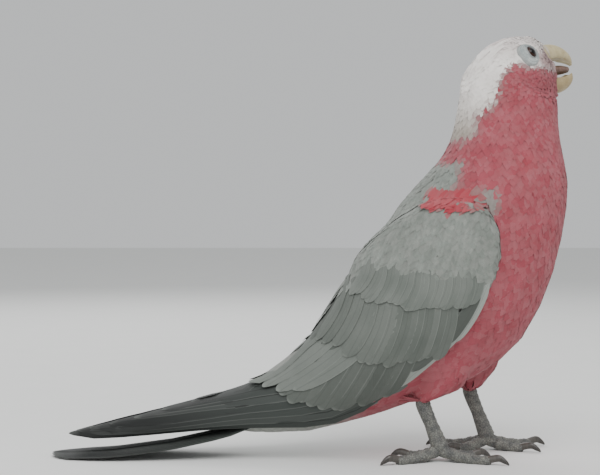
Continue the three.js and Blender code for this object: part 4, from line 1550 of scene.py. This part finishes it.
def vane_pattern(tree, barbs, shaft):
    """Streaks of the barbs, nearness to rim and shaft, the place along the vane, and the shade.

    barbs is how many streaks run along the vane, shaft where the shaft lies across it.
    """
    spot = node(tree, "SeparateXYZ", {0: node(tree, "UVMap", uv_map="Vane").outputs[0]})
    across, run = spot.outputs[0], spot.outputs[1]
    off = math_of(tree, math_of(tree, across, shaft, "SUBTRACT"), 0.0, "ABSOLUTE")
    shade = node(tree, "Attribute", attribute_name="shade").outputs["Fac"]
    straight = math_of(tree, run, barbs, "MULTIPLY")
    slant = math_of(tree, straight, math_of(tree, off, barbs * 0.35, "MULTIPLY"), "SUBTRACT")
    own = math_of(tree, slant, math_of(tree, shade, 90.0, "MULTIPLY"))  # no two feathers alike
    drawn = node(tree, "TexNoise", {"W": own, "Scale": 1.0, "Detail": 2.0}, noise_dimensions="1D")
    middle = math_of(tree, math_of(tree, across, 0.5, "SUBTRACT"), 0.0, "ABSOLUTE")
    rim = math_of(tree, ramp(tree, middle, 0.44, 0.5), ramp(tree, run, 0.95, 1.0), "MAXIMUM")
    return drawn.outputs["Fac"], rim, ramp(tree, off, 0.035, 0.012), run, shade


print("map of a vane:", coat["feathers_breast"].data.uv_layers["Vane"].name)

# %% Weights, blotches, streaks and bumps
def weights(tree):
    """The four weights painted on the points: rose, pale, dark and glow."""
    marks_in = node(tree, "Attribute", attribute_name="plumage")
    parts = node(tree, "SeparateColor", {0: marks_in.outputs["Color"]})
    return parts.outputs[0], parts.outputs[1], parts.outputs[2], marks_in.outputs["Alpha"]


def blotches(tree, size, low=0.35, high=0.65):
    """Soft patches of about a given size in millimetres, from 0 to 1."""
    spot = node(tree, "TexCoord").outputs["Object"]
    drawn = node(tree, "TexNoise", {"Vector": spot, "Scale": 1000.0 / size, "Detail": 3.0})
    return ramp(tree, drawn.outputs["Fac"], low, high)


def streaks(tree, wide, long):
    """Soft streaks standing upright, a given number of millimetres wide and long, from 0 to 1."""
    spot = node(tree, "TexCoord").outputs["Object"]
    lean = math.radians(-14)
    turned = node(tree, "VectorRotate", {"Vector": spot, "Angle": lean}, rotation_type="Y_AXIS")
    per_metre = (1000 / wide, 1000 / wide, 1000 / long)
    stretched = node(tree, "VectorMath", {0: turned.outputs[0], 1: per_metre}, operation="MULTIPLY")
    drawn = node(tree, "TexNoise", {"Vector": stretched.outputs[0], "Scale": 1.0, "Detail": 2.0})
    return ramp(tree, drawn.outputs["Fac"], 0.38, 0.62)


def bumped(tree, shader, height, strength, distance):
    """Bump on a shader; distance is the real height of the grain in millimetres."""
    bump = node(tree, "Bump", {"Strength": strength, "Distance": distance * MM, "Height": height})
    tree.links.new(bump.outputs[0], shader.inputs["Normal"])


print("weights painted on the skin:", skin.data.attributes["plumage"].name)

# %% Body feathers
# Keratin grown as loose down-edged vanes: quite matt, with a slight pale sheen at grazing angles. Barbs
# are about 0.3 mm apart; 13 streaks on a vane of 9 mm are 0.7 mm apart, so that they show.
plumage, tree, shader = material(
    "contour_feathers", Roughness=0.9, Specular_IOR_Level=0.18, Sheen_Weight=0.08, Sheen_Roughness=0.6)
streak, rim, _, run, shade = vane_pattern(tree, 13.0, 0.5)
rose, pale, dark, glow = weights(tree)
patches = blotches(tree, 12)
grey = blend(tree, patches, linear("787f78"), linear("888f88"))
# the dark weight: the wing's own darker grey lower down, with painted shade on the lower wing
grey = blend(tree, dark, grey, linear("616863"))
grey = blend(tree, ramp(tree, streaks(tree, 1.6, 13), 0.0, 1.0, 0.0, 0.3), grey, linear("5b615c"))
whitish = blend(tree, patches, linear("e6e1dc"), linear("f5f1ec"))
whitish = blend(tree, dark, whitish, linear("938a7d"))
pink = blend(tree, patches, linear("963e48"), linear("a24954"))
pink = blend(tree, glow, pink, linear("a5323e"))
base = blend(tree, rose, blend(tree, pale, grey, whitish), pink)
# a darker colour for the barb streaks, and for the painted shade at the feathers' roots
streak_and_shade_colour = blend(tree, pale, linear("584a4c"), linear("bdb3ae"))
base = blend(tree, ramp(tree, streak, 0.3, 0.7, 0.16, 0.0), base, streak_and_shade_colour)
base = blend(tree, ramp(tree, shade, 0.0, 1.0, 0.0, 0.07), base, linear("e8dcd8"))
# painted shade towards each feather's root, where the feathers above it would shade it; the skin under the
# coat, which has no vane, gets it in full
base = blend(tree, ramp(tree, run, 0.3, 0.8, 0.14, 0.0), base, streak_and_shade_colour)
base = blend(tree, math_of(tree, rim, 0.08, "MULTIPLY"), base, linear("f0e6e2"))
tree.links.new(base, shader.inputs["Base Color"])
bumped(tree, shader, streak, 0.35, 0.12)
print(plumage.name, len(tree.nodes), "nodes")

# %% Quills of the wing
# Keratin in firmer vanes than the body's, so a little glossier, with a dark shaft and a pale worn rim.
# 60 streaks on a feather of about 45 mm are 0.8 mm apart; real barbs are 0.4 mm apart.
quill_grey, tree, shader = material("grey_wing_quills", Roughness=0.72, Specular_IOR_Level=0.35)
streak, rim, shaft, _, shade = vane_pattern(tree, 60.0, 0.35)
_, pale, dark, _ = weights(tree)
grey = blend(tree, blotches(tree, 16), linear("5f655f"), linear("6d726c"))
# the dark weight of each row: partly its own darker grey, partly painted shade on the lower wing
grey = blend(tree, dark, grey, linear("424742"))
grey = blend(tree, pale, grey, linear("979c96"))
base = blend(tree, ramp(tree, streak, 0.25, 0.75, 0.2, 0.0), grey, linear("454a46"))
base = blend(tree, ramp(tree, shade, 0.0, 1.0, 0.0, 0.07), base, linear("c3c6c0"))
base = blend(tree, math_of(tree, shaft, 0.25, "MULTIPLY"), base, linear("3f423f"))
base = blend(tree, math_of(tree, rim, 0.18, "MULTIPLY"), base, linear("a9aea7"))
tree.links.new(base, shader.inputs["Base Color"])
bumped(tree, shader, streak, 0.4, 0.15)
print(quill_grey.name, len(tree.nodes), "nodes")

# %% Primaries and tail
# The strongest vanes, slate grey going to blackish towards the tips, with dark shafts. 110 streaks on
# 140 to 190 mm are about 1.5 mm apart, coarser than the real 0.5 mm, so that they show.
quill_dark, tree, shader = material("dark_flight_feathers", Roughness=0.65, Specular_IOR_Level=0.3)
streak, rim, shaft, run, shade = vane_pattern(tree, 110.0, 0.35)
slate = blend(tree, ramp(tree, run, 0.2, 0.75), linear("414743"), linear("191b1a"))
base = blend(tree, ramp(tree, streak, 0.25, 0.75, 0.25, 0.0), slate, linear("171a19"))
base = blend(tree, ramp(tree, shade, 0.0, 1.0, 0.0, 0.06), base, linear("a9aea9"))
base = blend(tree, math_of(tree, shaft, 0.6, "MULTIPLY"), base, linear("1c1c1b"))
base = blend(tree, math_of(tree, rim, 0.22, "MULTIPLY"), base, linear("8d918c"))
tree.links.new(base, shader.inputs["Base Color"])
bumped(tree, shader, streak, 0.4, 0.15)
print(quill_dark.name, len(tree.nodes), "nodes")

# %% Dress the feathers
dark_pieces = [flight["primaries_right"], flight["primaries_left"], *tail_pieces]
dressed = [
    ([skin, coat["feathers_neck"], coat["feathers_breast"]], plumage, "pink_feathers"),
    ([coat["feathers_head"], coat["crest_feathers"]], plumage, "crown_feathers"),
    ([coat["feathers_back"], coat["coverts_right"], coat["coverts_left"]], plumage, "grey_feathers"),
    ([coat["uppertail_coverts"]], plumage, "grey_feathers"),
    ([piece for piece in flight.values() if piece not in dark_pieces], quill_grey, "grey_feathers"),
    (dark_pieces, quill_dark, "flight_feathers"),
]
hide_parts("tail")
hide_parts("tail")
for side in ("right", "left"):
    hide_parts(f"wing_{side}_primaries")
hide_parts(*FLESH, *WING_BEDS)
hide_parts("crest")
print("dressed in feathers:", sum(len(pieces) for pieces, _, _ in dressed), "pieces")

# %% [markdown]
# ## Horn, bare skin, eyes and scales
# Bill horn grows in thin layers, so it has faint lines across it and a chalky bloom, and it is greyer
# and darker towards its root. The skin round the eye is thin, matt and blue-grey over pinker folds,
# with painted shade in its creases and a painted shadow of the feathers round its outer edge. The eye
# is wet, so it is the one mirror on the bird. Toes and shanks are dusty grey scales with painted shade
# in the seams between them. Each could share a plain grey material and differ by colour alone, but it
# is the gloss that tells them apart, so each starts from the roughness and the IOR of its own stuff.

# %% Horn of the bill
def horn(title, light, deep):
    """Dry horn: half matt, with growth lines about 1 mm apart and brown staining in patches."""
    finish, tree, shader = material(title, Roughness=0.48, IOR=1.54)
    run = node(tree, "Attribute", attribute_name="length").outputs["Fac"]
    lines = node(tree, "TexNoise", {"W": run, "Scale": 34.0, "Detail": 3.0}, noise_dimensions="1D")
    lines = lines.outputs["Fac"]
    base = blend(tree, blotches(tree, 5), linear(deep), linear(light))
    base = blend(tree, ramp(tree, lines, 0.35, 0.65, 0.3, 0.0), base, linear("97886a"))
    base = blend(tree, ramp(tree, blotches(tree, 3, 0.5, 0.75), 0.0, 1.0, 0.0, 0.3), base, linear("8d7656"))
    # greyer and darker towards the root of the bill
    base = blend(tree, ramp(tree, run, 0.3, 0.0, 0.0, 0.4), base, linear("8a7a68"))
    tree.links.new(base, shader.inputs["Base Color"])
    bumped(tree, shader, math_of(tree, lines, blotches(tree, 0.8)), 0.3, 0.12)
    return finish


upper_horn = horn("upper_bill_horn", "c6ba93", "b4a67e")
lower_horn = horn("lower_bill_horn", "ad9b74", "9b885f")  # the lower half is browner
print("horn:", upper_horn.name, lower_horn.name)

# %% Tongue and mouth
# Soft skin: moist enough to shine a little. Both are dark in their own colour, and darker still with
# painted shade for the little light that gets into the mouth.
tongue_skin, tree, shader = material("tongue_skin", Roughness=0.42)
base = blend(tree, blotches(tree, 2), linear("5a443b"), linear("755b50"))
tree.links.new(base, shader.inputs["Base Color"])
bumped(tree, shader, blotches(tree, 0.7), 0.4, 0.1)
mouth_skin, tree, shader = material("mouth_skin", Roughness=0.55)
base = blend(tree, blotches(tree, 3), linear("4a2f2c"), linear("7a524d"))
tree.links.new(base, shader.inputs["Base Color"])
bumped(tree, shader, blotches(tree, 0.9), 0.4, 0.15)
print("soft skin:", tongue_skin.name, mouth_skin.name)

# %% Bare skin round the eyes
# Thin dry skin, matt. Fine creases run over the folds, with painted shade in them; real ones are 0.3 mm
# apart and are drawn at 0.8 mm.
CREASE = 0.8


def cells(tree, size):
    """Distance to the seam between cells of a given size in millimetres."""
    spot = node(tree, "TexCoord").outputs["Object"]
    drawn = node(tree, "TexVoronoi", {"Vector": spot, "Scale": 1000.0 / size}, feature="DISTANCE_TO_EDGE")
    return drawn.outputs["Distance"]


bare, tree, shader = material("bare_eye_skin", Roughness=0.68, Specular_IOR_Level=0.35)
creases = cells(tree, CREASE)
length = node(tree, "Attribute", attribute_name="length").outputs["Fac"]
base = blend(tree, blotches(tree, 3), linear("9aa2a2"), linear("b9bfbd"))
# painted shade in the creases
base = blend(tree, ramp(tree, creases, 0.12, 0.0, 0.0, 0.4), base, linear("79797b"))
base = blend(tree, ramp(tree, length, 0.3, 0.14, 0.0, 0.8), base, linear("6d6a6b"))
# painted shadow of the feathers that overhang the outer edge of the bare ring
base = blend(tree, ramp(tree, length, 0.8, 0.95, 0.0, 0.5), base, linear("8b8886"))
tree.links.new(base, shader.inputs["Base Color"])
bumped(tree, shader, ramp(tree, creases, 0.0, 0.25), 0.5, 0.15)
print(bare.name, len(tree.nodes), "nodes")

# %% Skin of the cere
# The cere is the same thin skin without the blue: pale, matt and a little dusty.
cere_flesh, tree, shader = material("cere_flesh", Roughness=0.75)
base = blend(tree, blotches(tree, 1.5), linear("a59a8c"), linear("bdb2a2"))
tree.links.new(base, shader.inputs["Base Color"])
bumped(tree, shader, blotches(tree, 0.6), 0.3, 0.1)
print(cere_flesh.name, len(tree.nodes), "nodes")

# %% Wet eyes
# A wet cornea over a dark brown iris, so nearly black with one sharp highlight. Radii are in mm.
eye_glass, tree, shader = material("eye_dark_brown", Roughness=0.03, IOR=1.36)
radius = node(tree, "Attribute", attribute_name="from_pupil").outputs["Fac"]
iris = blend(tree, blotches(tree, 0.6), linear("20100b"), linear("3c2115"))
iris = blend(tree, ramp(tree, radius, 1.7, 1.9), linear("040303"), iris)
iris = blend(tree, ramp(tree, radius, 2.7, 3.1), iris, linear("0f0b0a"))
tree.links.new(iris, shader.inputs["Base Color"])
print(eye_glass.name, len(tree.nodes), "nodes")

# %% Scales of the feet
# Hard dry skin, powdered with feather dust: small round grains about 1.1 mm across, with painted shade
# in the seams between them.
GRAIN = 10 / 9
scales, tree, shader = material("dusty_foot_scales", Roughness=0.66, Specular_IOR_Level=0.4)
grains = cells(tree, GRAIN)
base = blend(tree, blotches(tree, 4), linear("626361"), linear("86867f"))
# painted shade in the seams between the grains
base = blend(tree, ramp(tree, grains, 0.14, 0.0, 0.0, 0.75), base, linear("343433"))
tree.links.new(base, shader.inputs["Base Color"])
bumped(tree, shader, ramp(tree, grains, 0.0, 0.3), 0.7, 0.3)
print(scales.name, len(tree.nodes), "nodes")

# %% Horn of the claws
# Claws are dark horn, worn glossy, and greyer at the root.
claw_horn, tree, shader = material("dark_claw_horn", Roughness=0.32, IOR=1.54)
length = node(tree, "Attribute", attribute_name="length").outputs["Fac"]
fine = node(tree, "TexNoise", {"W": length, "Scale": 18.0, "Detail": 3.0}, noise_dimensions="1D")
fine = fine.outputs["Fac"]
base = blend(tree, ramp(tree, length, 0.0, 0.5), linear("55514c"), linear("292625"))
base = blend(tree, ramp(tree, fine, 0.35, 0.7, 0.0, 0.4), base, linear("6b655d"))
tree.links.new(base, shader.inputs["Base Color"])
bumped(tree, shader, fine, 0.25, 0.1)
print(claw_horn.name, len(tree.nodes), "nodes")

# %% [markdown]
# ## Dress
# Every piece gets its material. The bird is a still model, so all of it rides on one body.

# %% Dress the bare parts
dressed += [
    ([upper_bill], upper_horn, "bill_horn"),
    ([lower_bill], lower_horn, "bill_horn"),
    ([tongue], tongue_skin, "tongue"),
    ([mouth], mouth_skin, "tongue"),
    ([cere], cere_flesh, "bare_skin"),
    (rings.values(), bare, "bare_skin"),
    (eyes.values(), eye_glass, "eye"),
    (feet, scales, "foot_scales"),
    (claws, claw_horn, "claw_horn"),
]
for made, finish, slot in dressed:
    for piece in made:
        piece.data.materials.append(finish)
        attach(piece, "root")
print("materials:", sorted({finish.name for _, finish, _ in dressed}))
